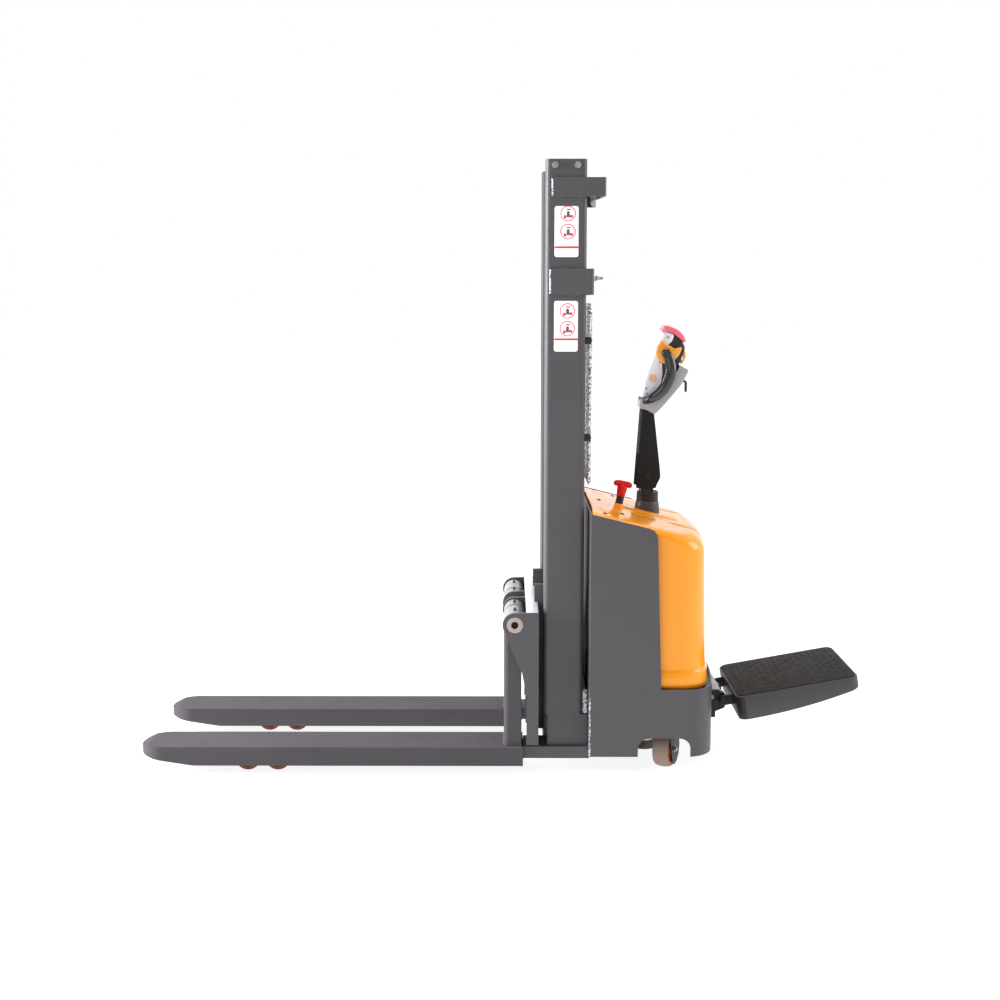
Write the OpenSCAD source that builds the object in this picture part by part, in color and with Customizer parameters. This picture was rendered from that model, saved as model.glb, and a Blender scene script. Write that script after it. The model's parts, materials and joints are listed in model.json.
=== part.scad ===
// Walkie stacker: forks over straddle legs, two-stage mast, powered tiller and folding rider platform.
// +X points to the operator, -X to the fork tips, +Z up, Z = 0 is the floor, Y = 0 the centre plane.
// Inside each module X is measured from the front face of the fork shanks; at_face() shifts it so
// that the origin is at the middle of the overall length.

/* [Forks] */
// Length of the forks from the shank face
fork_len = 1150; // [1000:10:1220]
// Width of one fork
fork_w = 160; // [150:1:170]
// Width over both forks
fork_over = 570; // [560:1:580]
// Height of the lowered fork blade
fork_top = 90; // [88:1:92]

/* [Mast] */
// Height of the closed mast
mast_h = 1892; // [1860:1:1990]
// Outside width of the mast
mast_w = 500; // [496:1:504]
// Depth of a mast channel
mast_d = 124; // [122:1:126]
// Travel of each mast stage
stage_lift = 1230; // [900:10:1250]

/* [Chassis] */
// Width over the chassis side plates
chassis_w = 664; // [656:1:680]
// Height of the side plates at the mast
chassis_h = 836; // [820:1:850]
// Distance of the steering axis behind the fork face
steer_x = 466; // [464:1:468]

/* [Platform] */
// Width of the rider platform
deck_w = 390; // [340:5:420]
// Length of the platform from its hinge to its tail
deck_len = 426; // [380:2:440]
// Angle at which the springs hold the platform, in degrees
deck_tilt = 10.3; // [6:0.1:14]

/* [Hidden] */
$fn = 48;
run = 0.05;                             // radial running clearance
far = 3000;                             // long enough to cut through anything

// Fork and leg heights
fork_low = 30;
blade_t = 6;
fork_y = (fork_over - fork_w) / 2;      // centre plane of one fork
leg_half = 57;                          // half width of a straddle leg
leg_low = 45;
leg_top = 76;
hub_x = 34;                             // fork shaft
hub_z = 481;
hub_r = 38;
shaft_r = 25;
tube_r = 33;                            // fork tube on the shaft
shank_d = 55;                           // depth of a fork shank
shank_y = [fork_y - 79.5, fork_y + 66.5];
hanger_low = 98;
hanger_top = 521;
hanger_back = 108;

// Wheels
load_r = 40;
load_xs = [-812, -717];
load_axle_r = 10;
drive_r = 115;
caster_r = 60;
caster_pivot = [501, 222];
caster_trail = 35;
caster_yaw = 65;                        // parked direction of both casters

// Mast section
mast_x = 124;
mast_back = mast_x + mast_d;
web_y = mast_w / 2;
web_t = 12;
flange_t = 14;
flange_y = 198;                         // flange tips of the outer channels
inner_y = 192;                          // outer face of the inner channels
inner_tip = 140;
inner_x = mast_x + 2;
inner_d = mast_d - 4;
inner_t = 11;
roller_x = mast_x + mast_d / 2;
stub_r = 20;
mast_roller_r = mast_d / 2 - flange_t - run;
carriage_roller_r = inner_d / 2 - inner_t - run;
mast_roller_z = 260;
carriage_roller_zs = [155, 470];
cylinder_x = 205;
cylinder_y = 90;
rod_top = 1740;                         // underside of the inner mast head plate
sheave_x = 207;
sheave_z = 1835;
sheave_r = 43;                          // groove bottom
chain_t = 10;
chain_w = 16;
chain_y = 45;
anchor_z = 1560;                        // fixed end of the chains
carriage_anchor_z = 230;

// Chassis
plate_t = 6;
side_y = chassis_w / 2;
bulkhead_x = 264;
slope = 0.2514;                         // fall of the sloping top
skirt_low = 76;
skirt_top = 290;
deck_z = 270;                           // shelf that carries the drive unit
shelf_z = 404;                          // shelf that carries the batteries
bearing_r = 80;

stop_at = [361, -100, 810];             // foot of the emergency stop
stop_lean = 11;

// Tiller
pivot_x = 461;
pivot_z = 920;
knob_x = 521;
knob_z = 1306;
button_r = 8;
button_ys = [24, -24, 0];               // lift, lower and horn

// Platform, in coordinates along and across the deck with the hinge at the origin
hinge_x = 712;
hinge_z = 190;
deck_top = 33.5;
tray_top = 30;
deck_start = 33;                        // clears the bracket when folded up
tail_low = 8;
rear_reach = hinge_x + deck_len * cos(deck_tilt) + tail_low * sin(deck_tilt);
face_x = (fork_len - rear_reach) / 2;

steel = "#615e62";
bright = "#b9b9bb";
dark = "#2c2b2d";
orange = "#ffa63c";
rust = "#b8612b";

// ---- shared shapes ----

module at_face() { translate([face_x, 0, 0]) children(); }

module both() { children(); mirror([0, 1, 0]) children(); }

// Cylinder along Y
module y_rod(x, z, r, y0, y1) {
    translate([x, y1, z]) rotate([90, 0, 0]) cylinder(r = r, h = y1 - y0);
}

// Plate in the XZ plane from y0 to y1
module y_plate(points, y0, y1) {
    translate([0, y1, 0]) rotate([90, 0, 0]) linear_extrude(y1 - y0) polygon(points);
}

module box(x0, x1, y0, y1, z0, z1) {
    translate([x0, y0, z0]) cube([x1 - x0, y1 - y0, z1 - z0]);
}

// Straight round bar between two points
module bar(a, b, r) {
    d = b - a;
    l = norm(d);
    translate(a) rotate([0, acos(d[2] / l), atan2(d[1], d[0])]) cylinder(r = r, h = l);
}

// Ring along Y
module y_ring(x, z, r, bore, y0, y1) {
    difference() {
        y_rod(x, z, r, y0, y1);
        y_rod(x, z, bore, y0 - 1, y1 + 1);
    }
}

// Moves its child to the other side of the truck where side is -1
module on_side(side) { mirror([0, side < 0 ? 1 : 0, 0]) children(); }

// ---- forks and carriage ----

module fork_outline() {
    tip_r = fork_w / 2;
    union() {
        translate([-fork_len + tip_r, fork_y]) circle(r = tip_r);
        translate([-fork_len + tip_r, fork_y - tip_r]) square([fork_len - tip_r + 60, fork_w]);
    }
}

module fork_blade() {
    intersection() {
        linear_extrude(fork_top + 1) fork_outline();
        y_plate([[60, fork_low], [60, fork_top], [-fork_len + 30, fork_top], [-fork_len, fork_top - 8],
            [-fork_len, 58], [-fork_len + 40, 50], [-975, fork_low]], 0, far);
    }
}

// Plan of a fork shank: a front wall and two side walls joined by rounded corners
module shank_plan() {
    r = 15;
    difference() {
        union() {
            translate([0, shank_y[0] + r]) square([shank_d, shank_y[1] - shank_y[0] - 2 * r]);
            translate([r, shank_y[0]]) square([far, shank_y[1] - shank_y[0]]);
            for (y = [shank_y[0] + r, shank_y[1] - r]) translate([r, y]) circle(r = r);
        }
        translate([10, shank_y[0] + 12]) square([far, shank_y[1] - shank_y[0] - 24]);
    }
}

// Shank from the blade up to the tube that turns on the shaft
module shank() {
    difference() {
        union() {
            intersection() {
                translate([0, 0, fork_top - 1]) linear_extrude(400) shank_plan();
                y_plate([[-1, fork_top - 1], [shank_d, fork_top - 1], [shank_d, 330],
                    [hub_x + tube_r, hub_z], [hub_x - tube_r, hub_z], [0, 430], [-1, 430]], 0, far);
            }
            y_rod(hub_x, hub_z, tube_r, 57, shank_y[1]);
        }
        y_rod(hub_x, hub_z, shaft_r + run, 56, far);
        box(-1, hub_x, shank_y[0] + 12, shank_y[1] - 12, 430, hub_z - tube_r);
    }
}

module forks() {
    color(steel) at_face() both() {
        difference() {
            fork_blade();
            box(-960, 61, fork_y - fork_w / 2 + blade_t, fork_y + fork_w / 2 - blade_t, -1,
                fork_top - blade_t);
        }
        shank();
    }
}

module fork_shaft() {
    color(bright) at_face() y_ring(hub_x, hub_z, shaft_r, 22, -283, 283);
}

module hub_bushes() {
    color("#c9a79a") at_face() both() y_ring(hub_x, hub_z, 22, 11.5, 253, 285);
}

// Triangular hanger plate of the carriage
module hanger(y0, y1) {
    difference() {
        union() {
            y_plate([[hub_x, hub_z + hub_r], [69, hanger_top], [hanger_back, hanger_top],
                [hanger_back, hanger_low], [71, hanger_low], [71, 250], [68, 272], [56, 332],
                [20, 410], [hub_x - hub_r, hub_z], [hub_x, hub_z]], y0, y1);
            y_rod(hub_x, hub_z, hub_r, y0, y1);
        }
        y_rod(hub_x, hub_z, shaft_r + run, y0 - 1, y1 + 1);
    }
}

module carriage_frame() {
    arm = [118, 134];
    cross = [hanger_back - 12, hanger_back];
    outer = [shank_y[1] + 2, fork_over / 2 - 0.5];
    color(steel) at_face() {
        both() {
            hanger(outer[0], outer[1]);
            hanger(41, 53);
            difference() {
                box(cross[0] + 1, roller_x + 36, arm[0], arm[1], 105, 580);
                for (z = [230, 380]) y_rod(roller_x, z, 26, arm[0] - 1, arm[1] + 1);
            }
            for (z = carriage_roller_zs) y_rod(roller_x, z, stub_r, arm[1] - 2, 180);
            box(cross[1] - 2, 166, chain_y - 18, chain_y + 18, carriage_anchor_z - 20,
                carriage_anchor_z);
        }
        difference() {
            box(cross[0], cross[1], -outer[0] - 1, outer[0] + 1, hanger_low, hanger_top);
            both() box(cross[0] - 1, cross[1] + 1, 60, 112, 260, 440);
        }
        box(69, cross[1], -outer[1], outer[1], hanger_top - 8, hanger_top);
    }
}

module carriage_roller_pair(z) {
    color("#8d8b8c") at_face() both()
        y_ring(roller_x, z, carriage_roller_r, stub_r + run, 146, 178);
}

module carriage_rollers_upper() { carriage_roller_pair(carriage_roller_zs[1]); }

module carriage_rollers_lower() { carriage_roller_pair(carriage_roller_zs[0]); }

// Front strand of both lift chains
module chain_front() {
    x = sheave_x - sheave_r - chain_t / 2;
    color(dark) at_face() both()
        box(x - chain_t / 2, x + chain_t / 2, chain_y - chain_w / 2, chain_y + chain_w / 2,
            carriage_anchor_z, sheave_z);
}

// Rear strand of both lift chains, from the fixed anchors to the sheaves
module chain_rear() {
    x = sheave_x + sheave_r + chain_t / 2;
    color(dark) at_face() both()
        box(x - chain_t / 2, x + chain_t / 2, chain_y - chain_w / 2, chain_y + chain_w / 2,
            anchor_z, sheave_z);
}

module chain_anchors() {
    x = sheave_x + sheave_r + chain_t / 2;
    color(bright) at_face() both() difference() {
        union() {
            box(x - 8, 263, chain_y - 14, chain_y + 14, 1520, anchor_z);
            translate([262, chain_y, 1545]) rotate([0, 90, 0]) cylinder(r = 7, h = 28);
        }
    }
}

// ---- legs and load wheels ----

module leg_frame() {
    x0 = load_xs[0] - 58;
    cheek = 13;
    color(steel) at_face() {
        both() difference() {
            union() {
                box(x0, 62, fork_y - leg_half, fork_y + leg_half, leg_low, leg_top);
                box(61, 268, fork_y - leg_half, fork_y + leg_half, 48, 87);
                box(load_xs[0] - 38, load_xs[1] + 37, fork_y - leg_half, fork_y + leg_half, 28, leg_top);
            }
            box(load_xs[0] - 45, load_xs[1] + 45, fork_y - leg_half + cheek, fork_y + leg_half - cheek,
                0, far);
            box(-640, 50, fork_y - leg_half + 8, fork_y + leg_half - 8, 0, leg_top - 8);
            for (x = load_xs)
                y_rod(x, load_r, load_axle_r, fork_y - leg_half - 1, fork_y + leg_half + 1);
        }
        both() box(138, 262, 236, 249, 80, 188);
        box(128, 268, -200, 200, 48, 60);
    }
}

module load_wheel_axles() {
    color(bright) at_face() both() for (x = load_xs)
        y_rod(x, load_r, load_axle_r, fork_y - leg_half - 2, fork_y + leg_half + 2);
}

// Moulded wheel on a steel core; side picks left (+1) or right (-1)
module load_wheel(x, side) {
    color(rust) at_face() on_side(side) difference() {
        union() {
            y_rod(x, load_r, load_r, fork_y - 34, fork_y + 34);
            y_rod(x, load_r, 17, fork_y - 41, fork_y + 41);
        }
        y_rod(x, load_r, load_axle_r + run, fork_y - 60, fork_y + 60);
    }
}

module load_wheel_front_left() { load_wheel(load_xs[0], 1); }
module load_wheel_front_right() { load_wheel(load_xs[0], -1); }
module load_wheel_rear_left() { load_wheel(load_xs[1], 1); }
module load_wheel_rear_right() { load_wheel(load_xs[1], -1); }

// ---- mast ----

// Channel section opening towards the centre plane, with rounded outer corners
module channel(x0, d, outer, tip, web, flange, r) {
    difference() {
        union() {
            translate([x0 + r, tip]) square([d - 2 * r, outer - tip]);
            translate([x0, tip]) square([d, outer - tip - r]);
            for (x = [x0 + r, x0 + d - r]) translate([x, outer - r]) circle(r = r);
        }
        translate([x0 + flange, tip - 1]) square([d - 2 * flange, outer - tip - web + 1]);
    }
}

// Tie that wraps behind the outer channels, with rounded corners
module mast_tie(x0, x1, mid_x, z0, z1) {
    t = 8;
    r = 11;
    y = web_y + t;
    translate([0, 0, z0]) linear_extrude(z1 - z0) difference() {
        union() {
            polygon([[x1, y], [x1 - t, y], [mid_x - t, 60], [mid_x - t, -60], [x1 - t, -y], [x1, -y],
                [mid_x, -60], [mid_x, 60]]);
            both() translate([x0, web_y - 0.5]) square([x1 - x0, t + 0.5]);
        }
        both() translate([x1 - r, y - r]) difference() {
            square(r + 1);
            circle(r = r);
        }
    }
}

module outer_mast() {
    foot_r = 16;
    color(steel) at_face() difference() {
        union() {
            both() translate([0, 0, 186]) linear_extrude(mast_h - 186)
                channel(mast_x, mast_d, web_y, flange_y, web_t, flange_t, 14);
            mast_tie(147, 305, 283, 1782, 1838);
            mast_tie(141, 271, 271, 1492, 1570);
            box(mast_back - 1, 258, -web_y + 4, web_y - 4, 190, 265);
        }
        both() for (x = [152, 219]) y_rod(x, 1874, 6, web_y - web_t - 1, web_y + 1);
        both() difference() {
            box(mast_x - 1, mast_x + foot_r, flange_y - 1, web_y + 1, 185, 186 + foot_r);
            y_rod(mast_x + foot_r, 186 + foot_r, foot_r, flange_y - 2, web_y + 2);
        }
    }
}

module mast_bolts() {
    color(bright) at_face() both() for (x = [152, 219]) {
        y_rod(x, 1874, 6, web_y - web_t, web_y + 1);
        translate([x, web_y + 8, 1874]) rotate([90, 0, 0]) cylinder(r = 11, h = 8, $fn = 6);
    }
}

module mast_pads() {
    color("#d8d6cf") at_face() both()
        box(mast_x + flange_t + 1, mast_back - flange_t - 1, inner_y + 0.5, web_y - web_t, 1846, 1888);
}

// Wire guard between the operator and the mast, with its four clips
module mesh_guard() {
    color("#6f6f72") at_face() {
        box(260, 263, -240, 240, 910, 1468);
        both() for (z = [1060, 1355]) box(mast_back, 260, 228, 244, z - 12, z + 12);
    }
}

// Two cylinder tubes, each with its separate gland nut on top
module lift_cylinders() {
    color("#3a3a3c") at_face() both() translate([cylinder_x, cylinder_y, 0]) {
        difference() {
            translate([0, 0, 60]) cylinder(r = 25, h = 1440);
            translate([0, 0, 80]) cylinder(r = 20, h = 1440);
        }
        difference() {
            translate([0, 0, 1500.2]) cylinder(r = 25, h = 22);
            translate([0, 0, 1499]) cylinder(r = 15 + run, h = 24);
        }
    }
}

module lift_rods() {
    color("#d9d9dc") at_face() both() translate([cylinder_x, cylinder_y, 0]) {
        translate([0, 0, 235]) cylinder(r = 20 - run, h = 24);
        translate([0, 0, 250]) cylinder(r = 15, h = rod_top - 250);
    }
}

module inner_mast() {
    web = 10;
    head_half = 114;                    // the head plate passes between the carriage arms
    ear = [[28, 33], [57, 62]];
    color("#56545a") at_face() {
        both() translate([0, 0, 100]) linear_extrude(mast_h - 102)
            channel(inner_x, inner_d, inner_y, inner_tip, web, inner_t, 8);
        for (z = [[110, 190], [880, 950], [rod_top - 70, rod_top + 12]])
            box(inner_x + inner_d - 10, inner_x + inner_d, -inner_tip - 12, inner_tip + 12, z[0], z[1]);
        box(184, inner_x + inner_d - 1, -head_half, head_half, rod_top, rod_top + 12);
        both() for (e = ear)
            y_plate([[190, rod_top + 10], [240, rod_top + 10], [232, 1855], [185, 1855]], e[0], e[1]);
        both() y_rod(roller_x, mast_roller_z, stub_r, inner_y - 2, 233);
        both() y_rod(sheave_x, sheave_z, 12, ear[0][0], ear[1][1]);
    }
}

module mast_rollers() {
    color("#8d8b8c") at_face() both()
        y_ring(roller_x, mast_roller_z, mast_roller_r, stub_r + run, 200, 231);
}

module chain_sheaves() {
    half = chain_w / 2 + 0.5;
    color("#77767a") at_face() both() difference() {
        union() {
            y_rod(sheave_x, sheave_z, sheave_r - 0.2, chain_y - half, chain_y + half);
            for (y = [chain_y - half - 3, chain_y + half])
                y_rod(sheave_x, sheave_z, sheave_r + 8, y, y + 3);
        }
        y_rod(sheave_x, sheave_z, 12 + run, 0, far);
    }
}

// ---- chassis ----

// Plan of the chassis skirt, made smaller by inset
module skirt_plan(inset) {
    corner = [560, 240];
    r = 92 - inset;
    union() {
        translate([bulkhead_x, -side_y + inset])
            square([corner[0] - bulkhead_x, chassis_w - 2 * inset]);
        translate([bulkhead_x, -corner[1]]) square([corner[0] + r - bulkhead_x, 2 * corner[1]]);
        for (s = [-1, 1]) translate([corner[0], s * corner[1]]) circle(r = r);
        intersection() {
            translate([corner[0], -corner[1]]) square([200, 2 * corner[1]]);
            translate([-829, 0]) circle(r = 1500 - inset, $fn = 96);
        }
    }
}

module chassis_frame() {
    arch = [415, 578, 135];
    color(steel) at_face() difference() {
        union() {
            both() y_plate([[bulkhead_x, skirt_low], [bulkhead_x, chassis_h], [440, 792], [456, 785],
                [465, 772], [467, 758], [484, skirt_top], [484, skirt_low]], side_y - plate_t, side_y);
            difference() {
                translate([0, 0, skirt_low]) linear_extrude(skirt_top - skirt_low) skirt_plan(0);
                translate([0, 0, skirt_low - 1]) linear_extrude(far) skirt_plan(plate_t);
                box(0, 480, -far, far, 0, far);
            }
            box(bulkhead_x, bulkhead_x + 6, -side_y + 1, side_y - 1, skirt_low, chassis_h - 4);
            translate([0, 0, deck_z]) linear_extrude(10) skirt_plan(plate_t - 1);
            both() {
                box(bulkhead_x + 5, 540, 126, 302, shelf_z, shelf_z + 5);
                box(500, 506, 134, 298, deck_z + 9, shelf_z + 1);
            }
        }
        for (x = [arch[0] + 35, arch[1] - 35]) y_rod(x, arch[2] - 35, 35, -far, far);
        box(arch[0], arch[1], -far, far, 0, arch[2] - 35);
        box(arch[0] + 35, arch[1] - 35, -far, far, 0, arch[2]);
        translate([steer_x, 0, 0]) cylinder(r = bearing_r + 8, h = 300);
    }
}

// One smooth form of the moulded cover, made smaller by inset, starting at front
module cover_form(inset, front) {
    low = skirt_top + 1;
    top = chassis_h + 3 - inset;
    rear = 608 - inset;
    hull() {
        translate([0, 0, low - inset]) linear_extrude(398) cover_plan(inset, front);
        translate([0, 0, low]) linear_extrude(430) cover_plan(inset + 18, front);
        y_plate([[front, 700], [front, top], [rear, top - slope * 330], [rear + 6, 700]],
            inset - 286, 286 - inset);
        y_plate([[front, 700], [front, top - 9], [560, top - 9 - slope * 290], [560, 700]],
            inset - 304, 304 - inset);
    }
}

module cover_plan(inset, front) {
    corner = [551, 228];
    r = 84 - inset;
    translate([front, -corner[1] - r]) square([corner[0] - front, 2 * (corner[1] + r)]);
    for (s = [-1, 1]) translate([corner[0], s * corner[1]]) circle(r = r, $fn = 32);
    translate([corner[0], -150]) square([r + 13, 300]);
}

// Shell with an open front and bottom
module rear_cover() {
    front = bulkhead_x + 8;
    wall = 5;
    color(orange) at_face() difference() {
        union() {
            cover_form(0, front);
            translate([0, 0, skirt_top + 1]) linear_extrude(42) cover_plan(-6, front);
        }
        cover_form(wall, front - 1);
        translate([0, 0, skirt_top - 10]) linear_extrude(50) cover_plan(wall, front - 1);
        translate([steer_x, 0, 600]) cylinder(r = 43, h = 400);
        translate([stop_at[0], stop_at[1], 700]) cylinder(r = 16, h = 200);
    }
}

module batteries() {
    color(dark) at_face() both() {
        box(284, 524, 130, 292, shelf_z + 6, shelf_z + 220);
        for (x = [310, 498]) translate([x, 211, shelf_z + 219]) cylinder(r = 8, h = 16);
    }
}

module motor_controller() {
    color("#9a9a9c") at_face() {
        box(282, 338, -90, 60, 560, 700);
        for (i = [0 : 8]) box(337, 350, -84 + 17 * i, -80 + 17 * i, 565, 695);
    }
}

module hydraulic_unit() {
    color("#4c4f54") at_face() {
        translate([330, 90, 281]) cylinder(r = 34, h = 100);
        box(282, 384, 120, 290, 281, 372);
        box(290, 372, 60, 121, 284, 330);
        translate([320, 90, 380]) cylinder(r = 22, h = 110);
    }
}

// One hose a side, from the cylinder foot under the bulkhead and up to the drive unit shelf
module hydraulic_hoses() {
    r = 5.5;
    bend = 25;
    low = 68.5;
    up_x = 300;
    color("#1d1d1f") at_face() both() {
        bar([cylinder_x + 26, cylinder_y, low], [up_x - bend, cylinder_y, low], r);
        translate([up_x - bend, cylinder_y, low + bend]) rotate([90, 0, 0]) rotate([0, 0, -90])
            rotate_extrude(angle = 90) translate([bend, 0]) circle(r = r);
        bar([up_x, cylinder_y, low + bend], [up_x, cylinder_y, deck_z - 0.5], r);
    }
}

module stop_switch() {
    color(dark) at_face() translate(stop_at) rotate([0, stop_lean, 0]) difference() {
        union() {
            translate([0, 0, -40]) cylinder(r = 13, h = 40);
            translate([0, 0, 8]) cylinder(r = 18, h = 10);
            cylinder(r = 13, h = 30);
            translate([0, 0, 20]) cylinder(r = 12, h = 30);
        }
        translate([0, 0, -20]) cylinder(r = 8 + run, h = far);
    }
}

module stop_handle() {
    color("#d8202f") at_face() translate(stop_at) rotate([0, stop_lean, 0]) {
        translate([0, 0, -14]) cylinder(r = 8, h = 68);
        translate([0, 0, 52]) cylinder(r = 14, h = 38);
        translate([-20, 0, 92]) rotate([0, 90, 0]) cylinder(r = 10, h = 40);
        for (x = [-20, 20]) translate([x, 0, 92]) sphere(r = 10);
    }
}

// ---- drive unit and steering ----

module steering_bearing() {
    color(bright) at_face() translate([steer_x, 0, 255]) difference() {
        cylinder(r = bearing_r + 28, h = 15);
        translate([0, 0, -1]) cylinder(r = bearing_r + run, h = 17);
    }
}

module drive_turret() {
    color("#6b6d72") at_face() translate([steer_x, 0, 0]) {
        translate([0, 0, 250]) cylinder(r = bearing_r, h = 26);
        box(-45, 45, 42, 62, 200, 252);
    }
}

module drive_motor() {
    color("#37383c") at_face() translate([steer_x, 0, 276]) {
        cylinder(r = 62, h = 150);
        for (i = [0 : 5]) translate([0, 0, 20 + 20 * i]) cylinder(r = 65, h = 6);
        translate([0, 0, 149]) cylinder(r = 46, h = 22);
    }
}

module gear_case() {
    color("#5c5e63") at_face() difference() {
        union() {
            y_rod(steer_x, drive_r, 46, 46, 84);
            box(steer_x - 42, steer_x + 42, 46, 84, drive_r, 200);
        }
        y_rod(steer_x, drive_r, 16 + run, 0, 78);
    }
}

module drive_hub() {
    color(bright) at_face() {
        y_rod(steer_x, drive_r, 82, -36, 36);
        y_rod(steer_x, drive_r, 16, 35, 76);
    }
}

module drive_tyre() {
    color("#3f3b3a") at_face() y_ring(steer_x, drive_r, drive_r, 82, -37, 37);
}

// Shaft from the drive unit up to the tiller, with the clevis that carries the tiller
module steering_column() {
    color(dark) at_face() {
        translate([steer_x, 0, 447]) cylinder(r = 18, h = 400);
        translate([steer_x, 0, 800]) cylinder(r = 35, h = 60);
        both() difference() {
            union() {
                box(pivot_x - 20, pivot_x + 20, 26, 38, 855, pivot_z);
                y_rod(pivot_x, pivot_z, 20, 26, 38);
            }
            y_rod(pivot_x, pivot_z, 9 + run, 0, 60);
        }
        box(pivot_x - 20, pivot_x + 20, -27, 27, 855, 872);
    }
}

module tiller_boot() {
    color("#3d4240") at_face() translate([steer_x, 0, 0]) difference() {
        union() {
            translate([0, 0, 770]) cylinder(r = 42, h = 17);
            translate([0, 0, 786]) cylinder(r1 = 42, r2 = 37.5, h = 34);
            translate([0, 0, 819]) cylinder(r = 37.5, h = 41);
        }
        translate([0, 0, 760]) cylinder(r = 35, h = 110);
    }
}

// ---- tiller ----

module tiller_arm() {
    wall = 6;
    half = 48;
    profile = [[424, 877], [488, 877], [493, 893], [502, 916], [500, 945], [478, 1127], [441, 1127]];
    color(dark) at_face() difference() {
        y_plate(profile, -half, half);
        box(400, 520, -half + wall + 1.5, half - wall - 1.5, 800, 985);
        y_plate([[438, 980], [447, 1115], [472, 1115], [488, 980]], -half + wall, half - wall);
        y_rod(pivot_x, pivot_z, 9, -60, 60);
    }
}

module tiller_pin() {
    color(bright) at_face() y_rod(pivot_x, pivot_z, 9, -50, 50);
}

module tiller_head() {
    color("#c9c8ce") at_face() difference() {
        union() {
            y_plate([[428, 1134], [441, 1232], [463, 1302], [497, 1362], [506, 1374], [539, 1365],
                [567, 1342], [573, 1322], [556, 1272], [566, 1215], [496, 1128]], -44, 44);
            y_plate([[555, 1271], [585, 1256], [564, 1210], [481, 1116], [440, 1128], [500, 1140],
                [548, 1205]], -50, 50);
            y_rod(knob_x, knob_z, 11, -64, 64);
        }
        for (y = button_ys) at_button(y) translate([0, 0, -8]) cylinder(r = button_r + 0.1, h = 40);
    }
}

// Loops that protect the hands, from the throttle axis down to the foot of the head
module tiller_grips() {
    loop = [[505, 1316], [520, 1325], [537, 1316], [552, 1290], [562, 1255], [552, 1210], [520, 1165],
        [480, 1140], [456, 1146], [462, 1162], [486, 1178], [512, 1208], [524, 1240], [522, 1270],
        [505, 1296]];
    color("#1f1e20") at_face() both() {
        y_plate(loop, 63.5, 89);
        y_rod(474, 1156, 10, 43, 66);
    }
}

module throttle_knobs() {
    color("#ff9d2a") at_face() both() difference() {
        union() {
            y_rod(knob_x, knob_z, 24, 45.5, 61.5);
            translate([knob_x, 0, knob_z]) rotate([0, -24, 0]) {
                box(-40, 34, 46, 61, -6, 12);
                box(-40, -26, 46, 61, -6, 40);
                box(22, 34, 46, 61, -6, 34);
            }
        }
        y_rod(knob_x, knob_z, 11 + run, 40, 70);
    }
}

module reversing_button() {
    color("#e8495d") at_face() y_plate([[500, 1378], [504, 1392], [511, 1398], [553, 1383],
        [577, 1352], [574, 1343], [545, 1370], [508, 1381]], -42, 42);
}

// Seats of the round push buttons on the rear face of the head
module at_button(y) { translate([564, y, 1297]) rotate([0, 70, 0]) children(); }

module head_button(y, colour) {
    color(colour) at_face() at_button(y) translate([0, 0, -3]) cylinder(r = button_r, h = 12);
}

module lift_button() { head_button(button_ys[0], dark); }
module lower_button() { head_button(button_ys[1], dark); }
module horn_button() { head_button(button_ys[2], "#e0b020"); }

module key() {
    color(dark) at_face() {
        translate([572, 0, 1222]) rotate([0, 118, 0]) cylinder(r = 4, h = 14);
        box(580, 588, -9, 9, 1184, 1216);
    }
}

// ---- casters ----

module at_caster(side) {
    at_face() translate([caster_pivot[0], side * caster_pivot[1], 0]) rotate([0, 0, caster_yaw]) children();
}

module caster_mounts() {
    color(steel) at_face() both() translate([caster_pivot[0], caster_pivot[1], 0]) difference() {
        union() {
            translate([-50, -42, 164]) cube([100, 84, 8]);
            translate([-30, -30, 171]) cube([60, 60, deck_z - 171]);
        }
        translate([0, 0, 100]) cylinder(r = 10 + run, h = 90);
    }
}

module caster_fork(side) {
    hub_t = 28.5;
    color(dark) at_caster(side) {
        translate([0, 0, 146]) cylinder(r = 34, h = 16);
        translate([0, 0, 161]) cylinder(r = 10, h = 24);
        for (s = [-1, 1]) difference() {
            y_plate([[-26, 150], [30, 150], [caster_trail + 18, 62], [caster_trail + 12, 44],
                [caster_trail - 12, 44], [caster_trail - 22, 66]], s * hub_t - 2, s * hub_t + 2);
            y_rod(caster_trail, caster_r, 8, -60, 60);
        }
        y_rod(caster_trail, caster_r, 8, -33, 33);
        box(-24, 30, -hub_t - 1, hub_t + 1, 145, 150);
        box(caster_trail + 12, caster_trail + 34, -16, 16, 128, 133);
        box(20, caster_trail + 14, -16, 16, 128, 147);
    }
}

module caster_wheel(side) {
    color(rust) at_caster(side)
        y_ring(caster_trail, caster_r, caster_r, 8 + run, -25, 25);
}

module caster_left() { caster_fork(1); }
module caster_right() { caster_fork(-1); }
module caster_wheel_left() { caster_wheel(1); }
module caster_wheel_right() { caster_wheel(-1); }

// ---- rider platform ----

module at_deck() {
    at_face() translate([hinge_x, 0, hinge_z]) rotate([0, -deck_tilt, 0]) children();
}

module deck_outline(inset) {
    r = 30 - inset;
    x0 = deck_start + inset;
    x1 = deck_len - inset;
    y1 = deck_w / 2 - inset;
    union() {
        translate([x0 + r, -y1]) square([x1 - x0 - 2 * r, 2 * y1]);
        translate([x0, -y1 + r]) square([x1 - x0, 2 * y1 - 2 * r]);
        for (x = [x0 + r, x1 - r], y = [-y1 + r, y1 - r]) translate([x, y]) circle(r = r);
    }
}

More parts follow.
